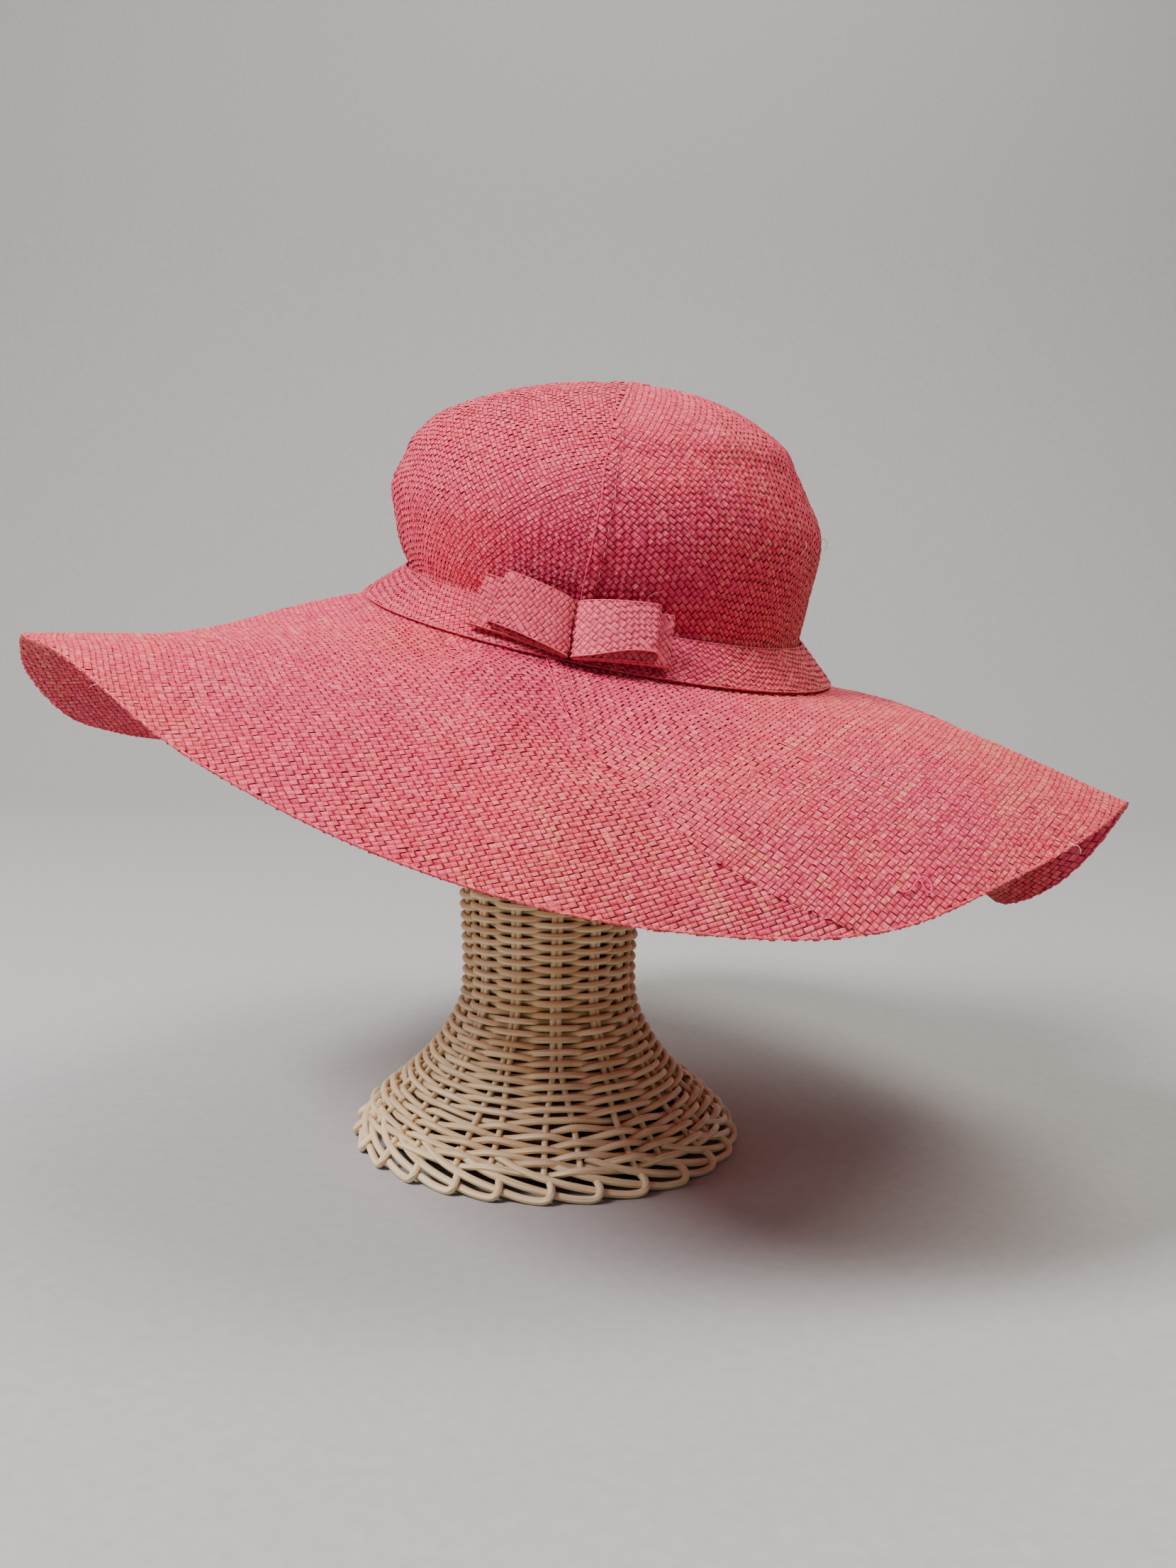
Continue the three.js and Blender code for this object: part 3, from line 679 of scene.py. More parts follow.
def loop_sheet(tier, loop):
    """The strip of one loop of the bow, from the middle out to its fold and back in front."""
    middles, ends = (np.array([part[edge] for edge in ("bottom", "top")]) for part in (tier, loop))

    def front(far):
        depth = BOW["layer"] + (loop["depth"] - BOW["layer"]) * far ** LOOP_SHAPE["opening"]
        swell = loop["swell"] * np.sin(np.pi * far ** LOOP_SHAPE["roundness"])
        return depth + swell - LOOP_SHAPE["pinch"] * bell(far, LOOP_SHAPE["pinch_width"])

    fold = loop["depth"] / 2 / abs(ends[0, 0])
    bend = np.linspace(0, np.pi, 9)
    turned = (1 - np.cos(bend)) / 2
    back = np.linspace(0.02, 1 - fold, 12)[:-1]
    ahead = np.linspace(1 - fold, 0.0, 16)[1:]
    far = np.concatenate([back, 1 - fold + fold * np.sin(bend), ahead])
    over = np.concatenate([0 * back, front(1 - fold) * turned, front(ahead)])
    gape = loop["gape"] * np.concatenate([0 * back, turned, ease((ahead - 0.12) / 0.7)])
    edges = []
    for middle, end, raised in zip(middles, ends, (gape, 0.0)):
        x, y = (middle[k] + (end[k] - middle[k]) * far for k in (0, 1))
        height = BOW["clearance"] - x**2 / BOW["bend_diameter"] + tier["lift"] + over
        edges.append(bow_place(x, y + raised, height))
    low, high = edges
    centre = (low + high) / 2
    length = run_length(centre)
    width = np.linalg.norm(high - low, axis=1)
    outward = unit(np.cross(np.gradient(centre, axis=0), high - low)) * (-1.0 if ends[0, 0] > 0 else 1.0)
    steps = np.arange(len(far))

    def lay(flat):
        x, y = flat[..., 0], flat[..., 1]
        row = np.interp(x, length, steps)
        i = np.clip(np.floor(row).astype(int), 0, len(steps) - 2)
        s = (row - i)[..., None]
        wide = np.interp(x, length, width)
        v = (y / wide)[..., None]
        foot, head, normals = (line[i] * (1 - s) + line[i + 1] * s for line in (low, high, outward))
        normals = unit(normals)
        points = foot * (1 - v) + head * v - normals * STRIP / 2
        return points, normals, np.minimum.reduce([x, length[-1] - x, y, wide - y])

    return lay, ((0.0, 0.0), (length[-1], width.max()))


def sheet_core(lay, box, step, inset):
    """A plain dark sheet inside a strip, as wide as the strip at each place, painted as the shade seen
    through the gaps of the weave.
    """
    (x0, y0), (x1, y1) = box
    along = np.linspace(x0 + inset, x1 - inset, int((x1 - x0) / step) + 2)
    wide = y1 + np.minimum(lay(np.stack([along, np.full_like(along, y1)], -1))[2], 0)
    share = np.linspace(0, 1, 3)
    across = y0 + inset + (wide - y0 - 2 * inset)[:, None] * share
    flat = np.stack([np.broadcast_to(along[:, None], across.shape), across], -1)
    return lay(flat)[0].reshape(-1, 3), grid_faces(len(along), 3, False)


def tube(path, radius, sides, number, closed=False, twist=0.0, bumps=0.0):
    """A rod along a path. number marks it as one rod. With a twist, in millimetres, slanted strands wrap
    round it."""
    path = np.asarray(path, float)
    ahead = unit(np.roll(path, -1, 0) - np.roll(path, 1, 0) if closed else np.gradient(path, axis=0))
    length = run_length(path)[:, None]
    guide = np.array([0.0, 0.0, 1.0] if np.abs(ahead[:, 2]).mean() < 0.75 else [0.0, 1.0, 0.0])
    side = unit(np.cross(ahead, guide))
    top = np.cross(side, ahead)
    angle = np.linspace(0, 2 * np.pi, sides + 1)
    radius = np.broadcast_to(np.asarray(radius, float), len(path))[:, None]
    if twist:
        strand = number + length / twist + angle / (2 * np.pi)
        radius = radius * (1 - bumps * np.abs(np.cos(np.pi * strand)) ** 4)
        marks = np.stack(np.broadcast_arrays(strand, angle * 0.6), -1)
    else:
        across = number + 0.02 + 0.96 * np.arange(sides + 1) / sides
        marks = np.stack(np.broadcast_arrays(across, length), -1)
    points = (path[:, None] + side[:, None] * (np.cos(angle) * radius)[..., None]
              + top[:, None] * (np.sin(angle) * radius)[..., None])
    return points.reshape(-1, 3), grid_faces(len(path), sides + 1, closed), marks.reshape(-1, 2)


def core(surface, reaches, rows, columns):
    """A dark sheet inside the cloth, painted as the shade that is seen only through the gaps of the weave."""
    azimuth = np.arange(rows) * 360.0 / rows
    points = surface.at(*np.meshgrid(azimuth, np.linspace(*reaches, columns), indexing="ij"))[0]
    return points.reshape(-1, 3), grid_faces(rows, columns, True)


# Materials

class Nodes:
    """Short calls for building a material's nodes. Inputs are values or the outputs of other nodes."""

    def __init__(self, name):
        self.material = bpy.data.materials.new(name)
        self.material.use_nodes = True
        self.tree = self.material.node_tree
        self.tree.nodes.clear()
        self.shader = self.node("BsdfPrincipled")
        self.node("OutputMaterial", {"Surface": self.shader.outputs["BSDF"]})
        self.place = self.node("TexCoord").outputs["Object"]

    def put(self, node, inputs):
        for name, value in inputs.items():
            if isinstance(value, bpy.types.NodeSocket):
                self.tree.links.new(value, node.inputs[name])
            else:
                node.inputs[name].default_value = value

    def node(self, kind, inputs=None, **settings):
        node = self.tree.nodes.new("ShaderNode" + kind)
        for key, value in settings.items():
            setattr(node, key, value)
        self.put(node, inputs or {})
        return node

    def math(self, operation, a, b=0.0):
        return self.node("Math", {0: a, 1: b}, operation=operation).outputs[0]

    def times(self, a, b):
        return self.math("MULTIPLY", a, b)

    def plus(self, a, b):
        return self.math("ADD", a, b)

    def mix(self, share, a, b):
        return self.node("Mix", {0: share, 6: a, 7: b}, data_type="RGBA").outputs[2]

    def ramp(self, value, low, high):
        return self.node("MapRange", {"Value": value, "From Min": low, "From Max": high}).outputs[0]

    def tint(self, base, value, low, high, share, tone):
        """Brings in a share of a tone as the value goes from low to high."""
        return self.mix(self.times(self.ramp(value, low, high), share), base, tone)

    def vector(self, *values):
        return self.node("CombineXYZ", dict(zip("XYZ", values))).outputs[0]

    def parts(self, vector):
        return list(self.node("SeparateXYZ", {0: vector}).outputs)

    def strand(self):
        """The strand's number with the place across it, and the place along it."""
        return self.parts(self.node("UVMap", uv_map="Strand").outputs["UV"])[:2]

    def noise(self, vector, scale, detail=2.0):
        return self.node("TexNoise", {"Vector": vector, "Scale": scale, "Detail": detail}).outputs["Fac"]

    def chance(self, vector):
        return self.node("TexWhiteNoise", {"Vector": vector}, noise_dimensions="3D").outputs["Value"]

    def finish(self, base, roughness, specular=0.5, height=None, strength=0.0, distance=0.0):
        """Joins the colour and the bumps to the shader."""
        surface = {"Base Color": base, "Roughness": roughness, "Specular IOR Level": specular}
        if height is not None:
            bumps = {"Height": height, "Strength": strength, "Distance": distance}
            surface["Normal"] = self.node("Bump", bumps).outputs[0]
        self.put(self.shader, surface)
        return self.material


def colour(red, green, blue):
    """A colour given as it looks on a screen, from 0 to 255."""
    def linear(value):
        value /= 255.0
        return value / 12.92 if value <= 0.04045 else ((value + 0.055) / 1.055) ** 2.4
    return (linear(red), linear(green), linear(blue), 1.0)


RAFFIA = {
    "salmon": colour(236, 60, 80),
    "rose": colour(228, 44, 92),
    "magenta": colour(202, 26, 110),
    "tan": colour(214, 100, 72),
    "straw": colour(240, 150, 98),
    "pale": colour(254, 124, 132),
    "deep": colour(180, 26, 52),
    # painted shade, darkening the strands where they dive under one another
    "painted_crevice_shade": colour(132, 16, 38),
}
BOW_SHADE_SPOT = (-0.002, -0.112, 0.222)  # the middle of the painted shade that deepens the magenta round the bottom of the bow, in the frame, in metres


def raffia_material(name, tone_and_light=None):
    """Dyed raffia. Each strand, stretch of a strand and visible cell has its own luck. The edges and ends of
    each visible stretch are darkened with painted shade, and painted shade deepens the magenta round the
    bottom of the bow. A bow can be given the tones of its left and right half, and where they meet: the left
    a darker tan, partly its own tone and partly painted shade, the right a lighter pink, partly painted
    light."""
    n = Nodes(name)
    strand_at, along = n.strand()
    strand, across = n.math("FLOOR", strand_at), n.math("FRACT", strand_at)
    strand_luck = n.chance(n.vector(strand, 3.7))
    stretch_luck = n.chance(n.vector(strand, n.math("FLOOR", n.times(along, 0.09)), 1.3))
    cell_luck = n.chance(n.vector(strand, n.math("FLOOR", along), 9.1))
    patch, wide = n.noise(n.place, 13.0, 3.0), n.noise(n.place, 5.0, 1.0)
    fibre = n.noise(n.vector(n.times(strand_at, 7.0), n.times(along, 0.7), strand_luck), 1.0, 3.0)
    # how near a place is to its strand's edge and to the end of its visible stretch: the colour uses both for
    # painted shade, the bumps use the edge
    edge, ends = (n.math("ABSOLUTE", n.math("SUBTRACT", n.times(share, 2.0), 1.0))
                  for share in (across, n.math("FRACT", along)))
    # painted shade: the magenta deepens round the bottom of the bow, in the bow's shade
    to_bow_shade = n.node("VectorMath", {0: n.place, 1: BOW_SHADE_SPOT}, operation="DISTANCE").outputs["Value"]
    bow_valley_shade = n.times(n.ramp(to_bow_shade, 0.075, 0.02), 0.28)
    worn = n.plus(wide, n.times(strand_luck, 0.16))
    # the magenta comes from real dye patches and from the painted shade round the bow
    dye_and_bow_shade = n.plus(n.plus(patch, n.times(stretch_luck, 0.12)), bow_valley_shade)
    bare = n.plus(stretch_luck, n.times(wide, 0.6))
    base = n.mix(n.ramp(strand_luck, 0.1, 0.9), RAFFIA["salmon"], RAFFIA["rose"])
    for tone, value, low, high, share in (
        ("tan", worn, 0.5, 0.76, 0.55),
        ("magenta", dye_and_bow_shade, 0.5, 0.74, 0.5),
        ("straw", bare, 1.11, 1.26, 0.6),
        ("pale", cell_luck, 0.6, 1.0, 0.5),
        ("deep", cell_luck, 0.4, 0.0, 0.55),
        ("pale", fibre, 0.45, 0.72, 0.55),
        ("deep", fibre, 0.5, 0.3, 0.6),
        # painted shade along the edges and at the ends of each visible stretch of strand, where it dives
        # under its neighbours
        ("painted_crevice_shade", edge, 0.66, 1.0, 0.7),
        ("painted_crevice_shade", ends, 0.6, 0.95, 0.75),
    ):
        base = n.tint(base, value, low, high, share, RAFFIA[tone])
    # the bow's left half goes darker tan, partly its own tone and partly painted shade; the right half goes
    # lighter pink, partly painted light
    if tone_and_light:
        right = n.ramp(n.parts(n.place)[0], tone_and_light["middle"] - 0.001, tone_and_light["middle"] + 0.001)
        base = n.mix(0.4, base, n.mix(right, tone_and_light["left"], tone_and_light["right"]))
    profile = n.math("SUBTRACT", 1.0, n.math("POWER", edge, 3.0))
    return n.finish(base, 0.6, 0.28, n.plus(profile, n.times(fibre, 0.9)), 0.55, 0.0004)


def core_material():
    n = Nodes("raffia_shadow")
    return n.finish(n.mix(n.noise(n.place, 60.0), colour(146, 28, 48), colour(120, 20, 38)), 0.9, 0.1)


def wicker_material():
    """Bare rods, paler near the foot, with darker fibres."""
    n = Nodes("wicker")
    strand_at, along = n.strand()
    rod, across = n.math("FLOOR", strand_at), n.math("FRACT", strand_at)
    luck = n.chance(n.vector(rod, n.math("FLOOR", n.times(along, 0.013)), 2.2))
    fibre = n.noise(n.vector(n.times(across, 9.0), n.times(along, 0.06), rod), 1.0, 4.0)
    base = n.mix(luck, colour(244, 220, 172), colour(218, 184, 132))
    base = n.tint(base, n.noise(n.place, 22.0, 3.0), 0.4, 0.7, 0.6, colour(242, 222, 182))
    base = n.tint(base, n.parts(n.place)[2], 0.075, 0.012, 0.25, colour(244, 226, 188))
    base = n.tint(base, fibre, 0.46, 0.74, 0.6, colour(166, 122, 74))
    return n.finish(base, 0.48, 0.4, fibre, 0.35, 0.0003)


def plain_material(name, tone, roughness):
    n = Nodes(name)
    darker = [part * 0.8 for part in tone[:3]] + [1.0]
    return n.finish(n.mix(n.noise(n.place, 180.0, 3.0), tone, darker), roughness)


# Building the hat

def build_brim(material, dark):
    inside = [core(BRIM, (-0.12, 0.99), 240, 56)]
    for name, left, angle, cores in (("brim_left", True, 0.0, inside), ("brim_right", False, -8.0, ())):
        parts = weave(*brim_sheet(left), (2.2, 1.9), angle, 11, (0.48, 0.32))
        add(name, "raffia", ["brim"], parts, material, dark, inside=cores)


def build_crown(material, dark):
    parts = []
    # (left panel, grain, pitch, seed)
    for left, grain, pitch, seed in ((True, 46.0, (1.95, 1.6), 21), (False, 41.0, (2.0, 1.9), 22)):
        lay, box, angle = crown_sheet(left, grain)
        parts += weave(lay, box, pitch, angle, seed, (0.5, 0.34))
    parts += weave(*crown_patch(), (1.9, 1.8), 42.0, 25, (0.42, 0.3))
    inside = [core(CROWN, (0.0, CROWN_REACH), 120, 46)]
    add("crown_cloth", "raffia", ["crown"], parts, material, dark, inside=inside)


def stitches(path, normals, dash, gap, rise, radius, rng, number):
    """Dashes of thread along a line: each comes out of the cloth and goes back into it."""
    length = run_length(path)
    threads = []
    start = 0.5
    while start + dash < length[-1]:
        reach = dash * rng.uniform(0.75, 1.2)
        at = start + np.linspace(0, 1, 6) * reach
        middle = np.stack([np.interp(at, length, path[:, k]) for k in range(3)], -1)
        out = unit(np.stack([np.interp(at, length, normals[:, k]) for k in range(3)], -1))
        height = rise * np.array([-0.5, 0.8, 1.0, 1.0, 0.8, -0.5]) + rng.uniform(-0.1, 0.1)
        side = unit(np.cross(out, np.gradient(middle, axis=0)))
        bend = np.sin(np.linspace(0, np.pi, 6)) * rng.uniform(-0.3, 0.3)
        path_of_thread = middle + out * height[:, None] + side * bend[:, None]
        threads.append(tube(path_of_thread, radius, 4, number + len(threads)))
        start += reach + gap * rng.uniform(0.7, 1.4)
    return threads


def roll(surface, azimuth, reach, lift, radius, number):
    """A rolled edge along a line on a surface."""
    points, normals = surface.at(np.broadcast_to(azimuth, reach.shape), reach)
    return tube(points + normals * np.reshape(lift, (-1, 1)), radius, 8, number, twist=3.4, bumps=0.12)


def build_seams(material, thread):
    """The rolled edges of the laps, and the threads that hold the cloth."""
    crown_front, crown_back = np.linspace(-0.03, 0.985, 130), np.linspace(0.02, 0.97, 90)
    brim_front, brim_back = np.linspace(-0.02, LAP["brim_end"], 50), np.linspace(0.0, 0.985, 90)
    lap_edge = np.linspace(0.03, 0.38, 40)
    brim_lift = brim_lap_height(brim_front) * 0.55
    taper = np.interp(brim_front, (0, 0.2, LAP["brim_end"]), (0.5, 0.46, 0.15))
    back = BRIM_CUT["grain_azimuth"]
    # (surface, azimuth, reach, lift, radius, number)
    rolls = [roll(*line) for line in (
        (CROWN, seam_azimuth(CROWN_SEAM, crown_front), 1 - crown_front, LAP["lift"] * 0.55, 0.5, 9700),
        (BRIM, seam_azimuth(BRIM_SEAM, brim_front), brim_front, brim_lift, taper, 9850),
        (BRIM, seam_azimuth(BRIM_LAP_EDGE, lap_edge), lap_edge, 0.45, 0.34, 9950),
        (BRIM, back, brim_back, LAP["back"], 0.36, 10100),
        (BRIM, back, brim_back, -0.3, 0.6, 10300),
        (CROWN, CROWN_BACK_SEAM, 1 - crown_back, LAP["back"], 0.36, 10200),
    )]
    add("seam_rolls", "raffia", ["crown", "brim"], rolls, material)

    rng = np.random.default_rng(71)
    threads = []
    along = np.linspace(0.02, 0.9, 160)
    radius = curve(CROWN_SECTIONS, "radius", along)
    for seam, offset, lift in ((seam_azimuth(CROWN_SEAM, along), 4.6, LAP["lift"] * 0.6),
                               (CROWN_BACK_SEAM, 0.0, 0.0)):
        points, normals = CROWN.at(seam + np.degrees(offset / radius), 1 - along)
        threads += stitches(points + normals * lift, normals, 2.5, 1.5, 0.5, 0.13, rng, 1 + len(threads))
    azimuth = np.linspace(150, 510, 720)
    points, normals = BRIM.at(azimuth, 0.54 - 0.012 * np.cos(np.radians(azimuth * 3)))
    threads += stitches(points, normals, 3.4, 0.5, 0.5, 0.13, rng, 400)
    lay, (_, (length, width)) = band_sheet()
    along = np.arange(0, length, 1.0)
    for height in (1.6, width - 1.8):
        points, normals, _ = lay(np.stack([along, np.full_like(along, height)], -1))
        threads += stitches(points, normals, 2.6, 1.8, 0.42, 0.11, rng, 800)
    add("seam_threads", "raffia", ["crown", "brim"], threads, thread)


# Loose ends that stand off the cloth: (surface, azimuth, reach, length, height, turn)
LOOSE_ENDS = (
    ("crown", 2, 0.72, 9, 3.0, 30),
    ("crown", 350, 0.6, 8, 2.5, -50),
    ("crown", 330, 0.66, 6, 2.2, 80),
    ("crown", 196, 0.8, 5, 2.0, 10),
    ("crown", 268, 0.72, 6, 1.6, 60),
    ("crown", 262, 0.55, 5, 1.4, 20),
    ("crown", 246, 0.42, 5, 1.3, 120),
    ("brim", 186, 0.97, 6, 2.5, 200),
    ("brim", 246, 0.04, 6, 1.8, 80),
    ("brim", 290, 0.5, 6, 1.4, 45),
    ("brim", 282, 0.62, 4, 1.4, 130),
    ("brim", 228, 0.99, 5, 1.5, 270),
    ("brim", 320, 0.99, 5, 1.5, 260),
)


def loose_fibre(surface, azimuth, reach, length, height, turn, radius, number):
    """A fibre that springs off the cloth in an arc."""
    start, normal = (value[0] for value in surface.at(np.array([azimuth]), np.array([reach])))
    beside = surface.at(np.array([azimuth + 1.0]), np.array([reach]))[0][0]
    right = unit(beside - start)
    ahead = np.cross(normal, right)
    angle = math.radians(turn)
    across = right * math.cos(angle) + ahead * math.sin(angle)
    t = np.linspace(0, 1, 7)[:, None]
    path = start + across * t * length + normal * (0.3 + height * np.sin(np.pi * t * 0.9))
    path += np.cross(normal, across) * np.sin(t * 3.0) * length * 0.15
    return tube(path, np.linspace(radius, radius * 0.6, 7), 4, number)


# The long pink thread that is caught near the front edge, to the right: (azimuth, reach, height)
PINK_THREAD = (
    (299.9, 0.9, 0.2), (300.3, 0.915, 0.9), (300.9, 0.918, 1.2), (301.6, 0.905, 1.0), (302.3, 0.893, 1.4),
    (302.9, 0.9, 2.2), (303.0, 0.93, 2.0), (302.6, 0.945, 1.2), (302.35, 0.92, 0.9), (302.4, 0.885, 1.5),
    (302.5, 0.865, 0.3),
)


def build_pink_thread(thread):
    points = np.array(PINK_THREAD)
    at = np.linspace(0, len(points) - 1, 50)
    azimuth, reach, height = (np.interp(at, np.arange(len(points)), column) for column in points.T)
    soft = np.ones(5) / 5
    path, normals = BRIM.at(azimuth, reach)
    path = path + normals * (height + 0.4)[:, None]
    path = np.stack([np.convolve(np.pad(column, 2, "edge"), soft, "valid") for column in path.T], -1)
    add("pink_thread", "raffia", ["brim"], [tube(path, 0.3, 6, 1)], thread)


def build_fibres(thread):
    """The listed loose ends, and fine fibres by chance all over the hat."""
    rng = np.random.default_rng(81)
    surfaces = {"crown": CROWN, "brim": BRIM}
    fibres = []
    for name, *values in LOOSE_ENDS:
        fibres.append(loose_fibre(surfaces[name], *values, 0.16, len(fibres) + 1))
    for _ in range(420):
        surface = BRIM if rng.random() < 0.6 else CROWN
        place = (rng.uniform(0, 360), rng.uniform(0.03, 0.99) if surface is BRIM else rng.uniform(0.2, 0.98))
        shape = (rng.uniform(2, 7), rng.uniform(0.2, 0.9), rng.uniform(0, 360))
        fibres.append(loose_fibre(surface, *place, *shape, 0.06, len(fibres) + 1))
    add("loose_fibres", "raffia", ["crown", "brim"], fibres, thread)


def build_hem(material):
    azimuth = np.arange(0, 360.0, 0.5)
    path = BRIM.at(azimuth, np.full(len(azimuth), 0.994))[0]
    hem = tube(path, 0.58, 8, 9000, closed=True, twist=3.0, bumps=0.2)
    add("brim_hem", "raffia", ["brim"], [hem], material)


def build_band(material, dark):
    lay, box = band_sheet()
    inside = [sheet_core(lay, box, 6.0, 0.4)]
    parts = weave(lay, box, (2.0, 1.8), 33.0, 31, (0.34, 0.28))
    add("band_strip", "raffia_strip", ["band"], parts, material, dark, inside=inside)
    rolls = []
    length, width = box[1]
    along = np.arange(0, length, 2.0)
    for number, height in ((9100, 0.35), (9600, width - 0.35)):
        path = lay(np.stack([along, np.full_like(along, height)], -1))[0]
        rolls.append(tube(path, 0.42, 8, number, closed=True, twist=3.0, bumps=0.15))
    add("band_edges", "raffia_strip", ["band"], rolls, material)


# (tier, loop, pitch, angle, spread)
LOOP_WEAVES = (
    ("bow_front", 0, (1.95, 1.9), -33.0, 0.4),
    ("bow_front", 1, (1.8, 1.75), 42.0, 0.3),
    ("bow_back", 0, (1.9, 1.8), -10.0, 0.3),
    ("bow_back", 1, (1.9, 1.8), 46.0, 0.3),
)


def build_bow(material, dark):
    for node, tier in BOW_TIERS.items():
        parts, inside, rolls = [], [], []
        for k, (name, index, pitch, angle, spread) in enumerate(LOOP_WEAVES):
            if name != node:
                continue
            lay, box = loop_sheet(tier, tier["loops"][index])
            parts += weave(lay, box, pitch, angle, 40 + k, (0.3, 0.26), {"spread": spread, "skip": 0.03})
            inside.append(sheet_core(lay, box, 2.0, 0.4))
            length, width = box[1]
            along = np.arange(0.4, length - 0.3, 0.8)
            low = np.full_like(along, 0.3)
            high = width + lay(np.stack([along, np.full_like(along, width)], -1))[2] - 0.3
            for number, height in ((9200 + 100 * k, low), (9250 + 100 * k, high)):
                path = lay(np.stack([along, height], -1))[0]
                rolls.append(tube(path, 0.36, 7, number, twist=3.0, bumps=0.15))
        add(node + "_strip", "raffia_strip", [node], parts, material, dark, inside=inside)
        add(node + "_edges", "raffia_strip", [node], rolls, material)


# The wicker stand

class Profile:
    """The outer line of the stand, followed by its length from the foot upwards."""

    def __init__(self, sections):
        z = np.linspace(sections["z"][0], sections["z"][-1], 300)
        self.line = np.stack([curve(sections, "radius", z), z], -1)
        self.length = run_length(self.line)
        ahead = unit(np.gradient(self.line, axis=0))
        self.normal = np.stack([ahead[:, 1], -ahead[:, 0]], -1)

    def at(self, length, depth):
        """Radius and height at a length along the line and a depth inside it."""
        return [np.interp(length, self.length, self.line[:, k])
                - depth * np.interp(length, self.length, self.normal[:, k]) for k in (0, 1)]

    def length_at(self, z):
        return np.interp(z, self.line[:, 1], self.length)


def spread_at(z):
    """Half the angle between the two stakes of a pair, which part towards the foot."""
    return PAIR_SPREAD["above"] + (PAIR_SPREAD["below"] - PAIR_SPREAD["above"]) * ease((47.0 - z) / 22.0)


PAIR_AZIMUTHS = PAIR_AZIMUTH + 360.0 / PAIRS * np.arange(PAIRS)


def stakes_up(profile, heights, rng):
    """The pairs of stakes, which run up inside the weavers."""
    rods = []
    height = np.linspace(*heights, 34)
    for azimuth in PAIR_AZIMUTHS:
        for side in (-1, 1):
            radius, z = profile.at(profile.length_at(height), STAKE_DEPTH)
            wander = np.interp(height, np.linspace(*heights, 3), rng.uniform(-0.5, 0.5, 3))
            path = around(azimuth + side * spread_at(height) + wander, radius, z)
            rods.append(tube(path, ROD * 0.98, 7, 1 + len(rods)))
    return rods


def slow_noise(angle, every, rng):
    """A value between -1 and 1 that drifts along a rod."""
    knots = np.arange(0, angle[-1] + 2 * every, every)
    return np.interp(angle, knots, rng.uniform(-1, 1, len(knots)))


def long_weaver(profile, heights, pitch, step, number, rng):
    """One long rod that winds upwards, over and under the pairs of stakes."""
    start, end = profile.length_at(np.array(heights))
    angle = np.arange(0, (end - start) / pitch * 360.0, step)
    phase = np.radians((angle - PAIR_AZIMUTH) * PAIRS / 2)
    swing = np.cos(phase)
    swing = swing * (1.5 - 0.5 * swing**2)
    length = start + angle / 360.0 * pitch + 0.22 * slow_noise(angle, 31.0, rng)
    radius, z = profile.at(length, STAKE_DEPTH - 2.4 * swing)
    thick = ROD * (1 + 0.08 * slow_noise(angle, 97.0, rng))
    return tube(around(angle, radius, z), thick, 7, number)


def dark_shell(name, node, profile, heights, material):
    """A thin dark wall behind the rods, as it is dark inside the stand."""
    length = profile.length_at(np.linspace(*heights, 40))
    outer, inner = (np.stack(profile.at(length, depth), -1) for depth in (7.6, 8.4))
    line = np.concatenate([outer, inner[::-1], outer[:1]])
    angle = np.arange(0, 360.0, 6.0)[:, None]
    points = around(angle, line[None, :, 0], line[None, :, 1]).reshape(-1, 3)
    shell = (points, grid_faces(len(angle), len(line), True), np.zeros((len(points), 2)))
    add(name, "wicker", [node], [shell], material, place=on_stand)


def build_stand(material, dark):
    profile = Profile(BODY_SECTIONS)
    rng = np.random.default_rng(61)
    rods = stakes_up(profile, (12.0, BODY_TOP), rng)
    rods.append(long_weaver(profile, (SPLIT_HEIGHT, BODY_TOP), 2.43, 2.4, 1 + len(rods), rng))
    start = profile.length_at(SPLIT_HEIGHT)

    # Rings of weavers run over and under the single stakes of the foot.
    spread = PAIR_SPREAD["below"]
    stakes = np.sort(np.concatenate([PAIR_AZIMUTHS - spread, PAIR_AZIMUTHS + spread]) % 360.0)
    angle = np.arange(0, 360.0, 2.0)
    around_stakes = np.concatenate([stakes[-1:] - 360, stakes, stakes[:1] + 360])
    phase = np.interp(angle, around_stakes, np.pi * np.arange(-1, len(stakes) + 1))
    low = profile.length_at(12.5)
    rings = int((start - low) / 2.75)
    for k in range(rings):
        length = start - 2.0 - k * (start - low) / rings
        swing = np.cos(phase + np.pi * k)
        wave = 0.25 * np.sin(np.radians(angle * 3 + 80 * k)) + rng.uniform(-0.15, 0.15)
        radius, z = profile.at(length + wave, 3.7 - 2.3 * swing)
        thick = ROD * rng.uniform(1.02, 1.14)
        rods.append(tube(around(angle, radius, z), thick, 7, 1 + len(rods), closed=True))
    add("stand_weave", "wicker", ["stand_body"], rods, material, place=on_stand)

    dark_shell("stand_inside", "stand_body", profile, (9.0, BODY_TOP), dark)

    # The ends of the stakes are laid down to the right and hooked in as the border.
    turn, out, up = (curve(BORDER, name, np.linspace(0, 1, 40)) for name in ("turn", "radius", "z"))
    rods = []
    for k in range(2 * PAIRS):
        azimuth = PAIR_AZIMUTH - 90.0 / PAIRS + 180.0 / PAIRS * k + rng.uniform(-0.6, 0.6)
        height = np.maximum(up + rng.uniform(-0.1, 0.2), BORDER_ROD + 0.04)
        path = around(azimuth + turn, out + rng.uniform(-0.2, 0.2), height)
        rods.append(tube(path, BORDER_ROD, 8, 100 + k))
    add("stand_border_rods", "wicker", ["stand_border"], rods, material, place=on_stand)


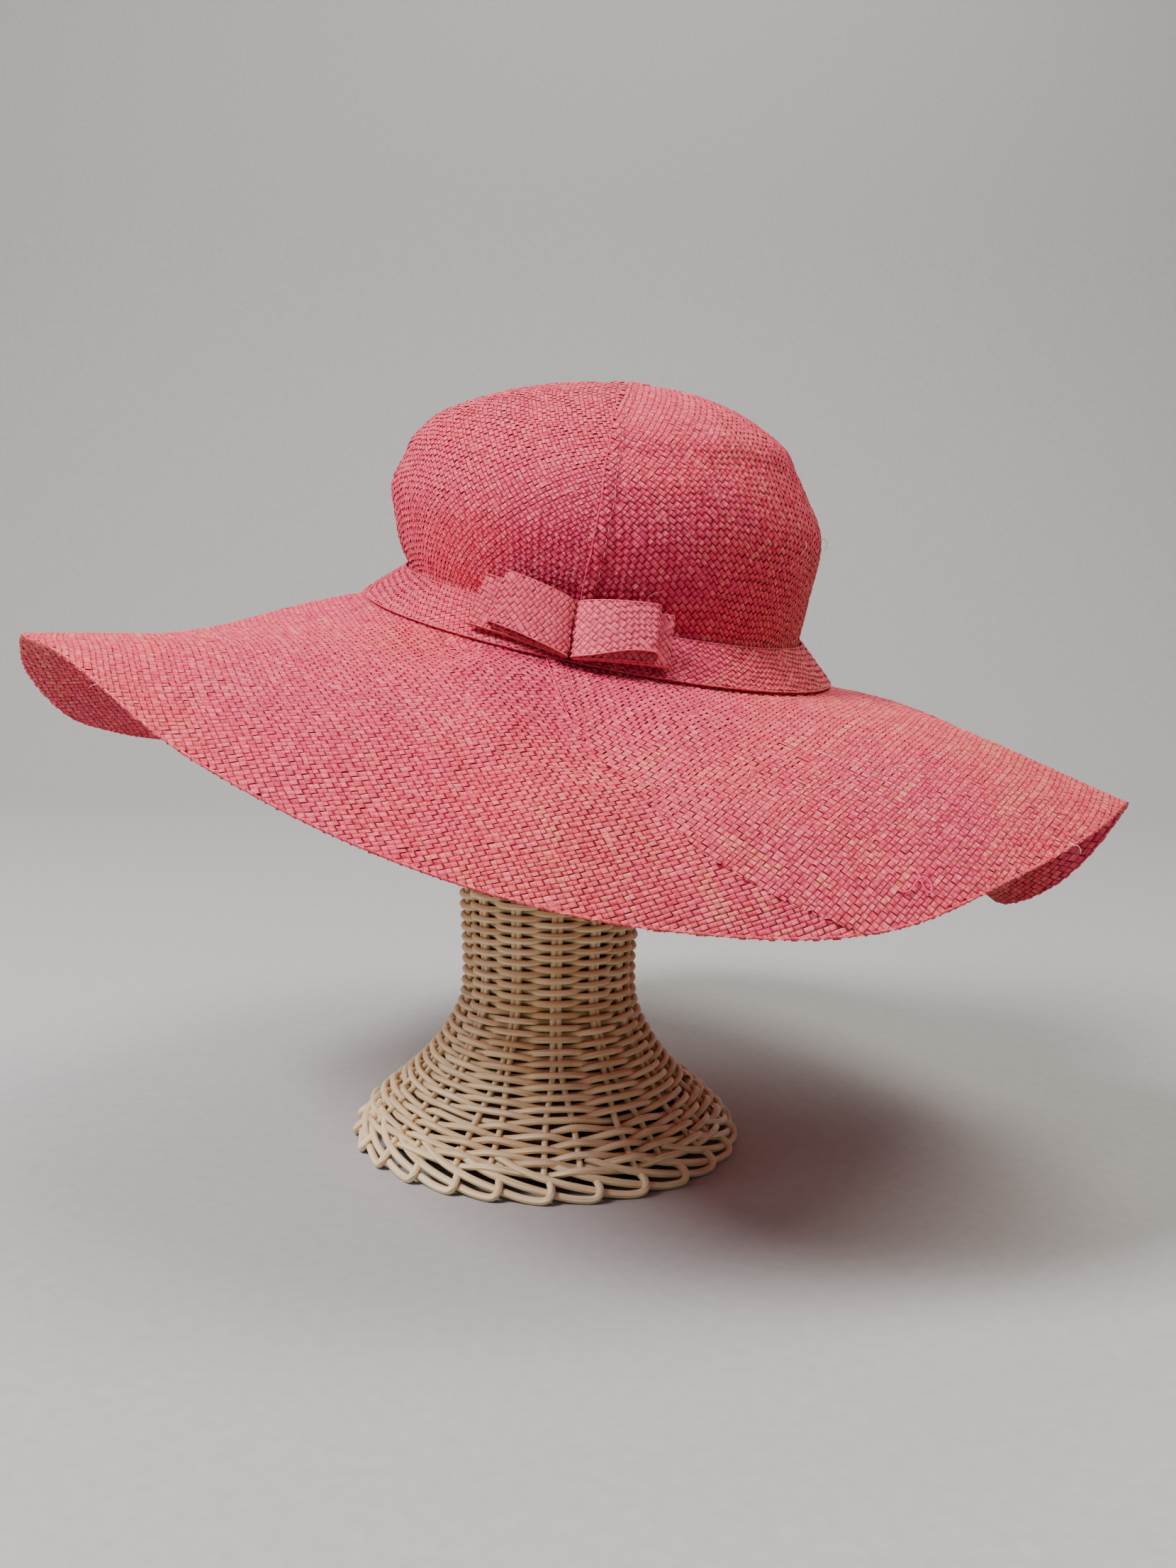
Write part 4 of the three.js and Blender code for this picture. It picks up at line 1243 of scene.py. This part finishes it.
def build_head(material, dark):
    """The head form goes on in the same weave, under the crown."""
    profile = Profile(HEAD_SECTIONS)
    rng = np.random.default_rng(62)
    rods = stakes_up(profile, (HEAD_FOOT, 322.0), rng)
    rods.append(long_weaver(profile, (HEAD_FOOT, 325.5), 2.9, 4.0, 1 + len(rods), rng))
    add("head_weave", "wicker", ["stand_head"], rods, material, place=on_stand)
    dark_shell("head_inside", "stand_head", profile, (HEAD_FOOT, 318.0), dark)


def build_stage():
    """A pale floor that curves up into a pale backdrop behind."""
    bend = np.linspace(0, np.pi / 2, 16)
    depth = np.concatenate([[-3.0, 0.6, 0.95], 1.0 + 0.8 * np.sin(bend), [1.8, 1.8]])
    height = np.concatenate([[0.0, 0.0, 0.0], 0.8 * (1 - np.cos(bend)), [0.85, 4.0]])
    points = np.array([(x, y, z) for x in (-4.0, 4.0) for y, z in zip(depth, height)])
    sheet = (points, grid_faces(2, len(depth), False), np.zeros((len(points), 2)))
    paint = plain_material("floor_paint", colour(184, 183, 179), 0.85)
    floor = make_piece("floor", [sheet], [paint], place=np.asarray)


def build_camera():
    pitch, roll = CAMERA["pitch"], CAMERA["roll"]
    forward = Vector((0, math.cos(pitch), -math.sin(pitch)))
    up = Vector((0, math.sin(pitch), math.cos(pitch)))
    right = Vector((1, 0, 0))
    side = right * math.cos(roll) + up * math.sin(roll)
    top = up * math.cos(roll) - right * math.sin(roll)
    data = bpy.data.cameras.new("camera")
    data.sensor_fit = "VERTICAL"
    data.sensor_height = CAMERA["sensor"]
    data.lens = CAMERA["sensor"] * PICTURE["focal"] / PICTURE["height"]
    data.clip_start = 0.01
    camera = bpy.data.objects.new("camera", data)
    matrix = Matrix((side, top, -forward)).transposed().to_4x4()
    matrix.translation = Vector(CAMERA["place"])
    camera.matrix_world = matrix
    bpy.context.scene.collection.objects.link(camera)
    bpy.context.scene.camera = camera


def build_light():
    world = bpy.data.worlds.new("world")
    bpy.context.scene.world = world
    world.use_nodes = True
    background = world.node_tree.nodes["Background"]
    background.inputs["Color"].default_value = colour(214, 216, 220)
    background.inputs["Strength"].default_value = 0.24
    # (name, place, size, watts, colour)
    lamps = (
        ("window", (-1.2, -0.85, 1.75), 0.65, 72.0, colour(250, 248, 255)),
        ("side", (-1.7, -0.5, 0.5), 0.8, 6.0, colour(250, 248, 255)),
        ("sky", (0.6, -0.45, 2.2), 1.3, 36.0, colour(255, 250, 244)),
        ("back", (0.3, 1.2, 1.9), 1.2, 12.0, colour(255, 252, 248)),
    )
    target = Vector((0, 0, 0.2))
    for name, place, size, power, tone in lamps:
        data = bpy.data.lights.new(name, "AREA")
        data.size = size
        data.energy = power
        data.color = tone[:3]
        lamp = bpy.data.objects.new(name, data)
        lamp.location = place
        lamp.rotation_euler = (target - Vector(place)).to_track_quat("-Z", "Y").to_euler()
        bpy.context.scene.collection.objects.link(lamp)


build_camera()
raffia = raffia_material("raffia")
shadow = core_material()
build_brim(raffia, shadow)
build_crown(raffia, shadow)
build_hem(raffia)
thread = plain_material("raffia_thread", colour(246, 168, 158), 0.6)
build_seams(raffia, thread)
build_fibres(thread)
build_pink_thread(plain_material("pink_thread", colour(240, 52, 108), 0.5))
build_band(raffia, shadow)
bow_middle = in_frame(bow_place(0.0, 0.0, 5.0))[0]
# left half of the bow darker tan, partly its own tone and partly painted shade; right half lighter pink,
# partly painted light
bow_tone_and_light = {"middle": bow_middle, "left": colour(184, 72, 72), "right": colour(252, 112, 132)}
build_bow(raffia_material("raffia_bow", bow_tone_and_light), shadow)
wicker = wicker_material()
wicker_shadow = plain_material("wicker_shadow", colour(74, 50, 32), 0.9)
build_stand(wicker, wicker_shadow)
build_head(wicker, wicker_shadow)
build_stage()
build_light()
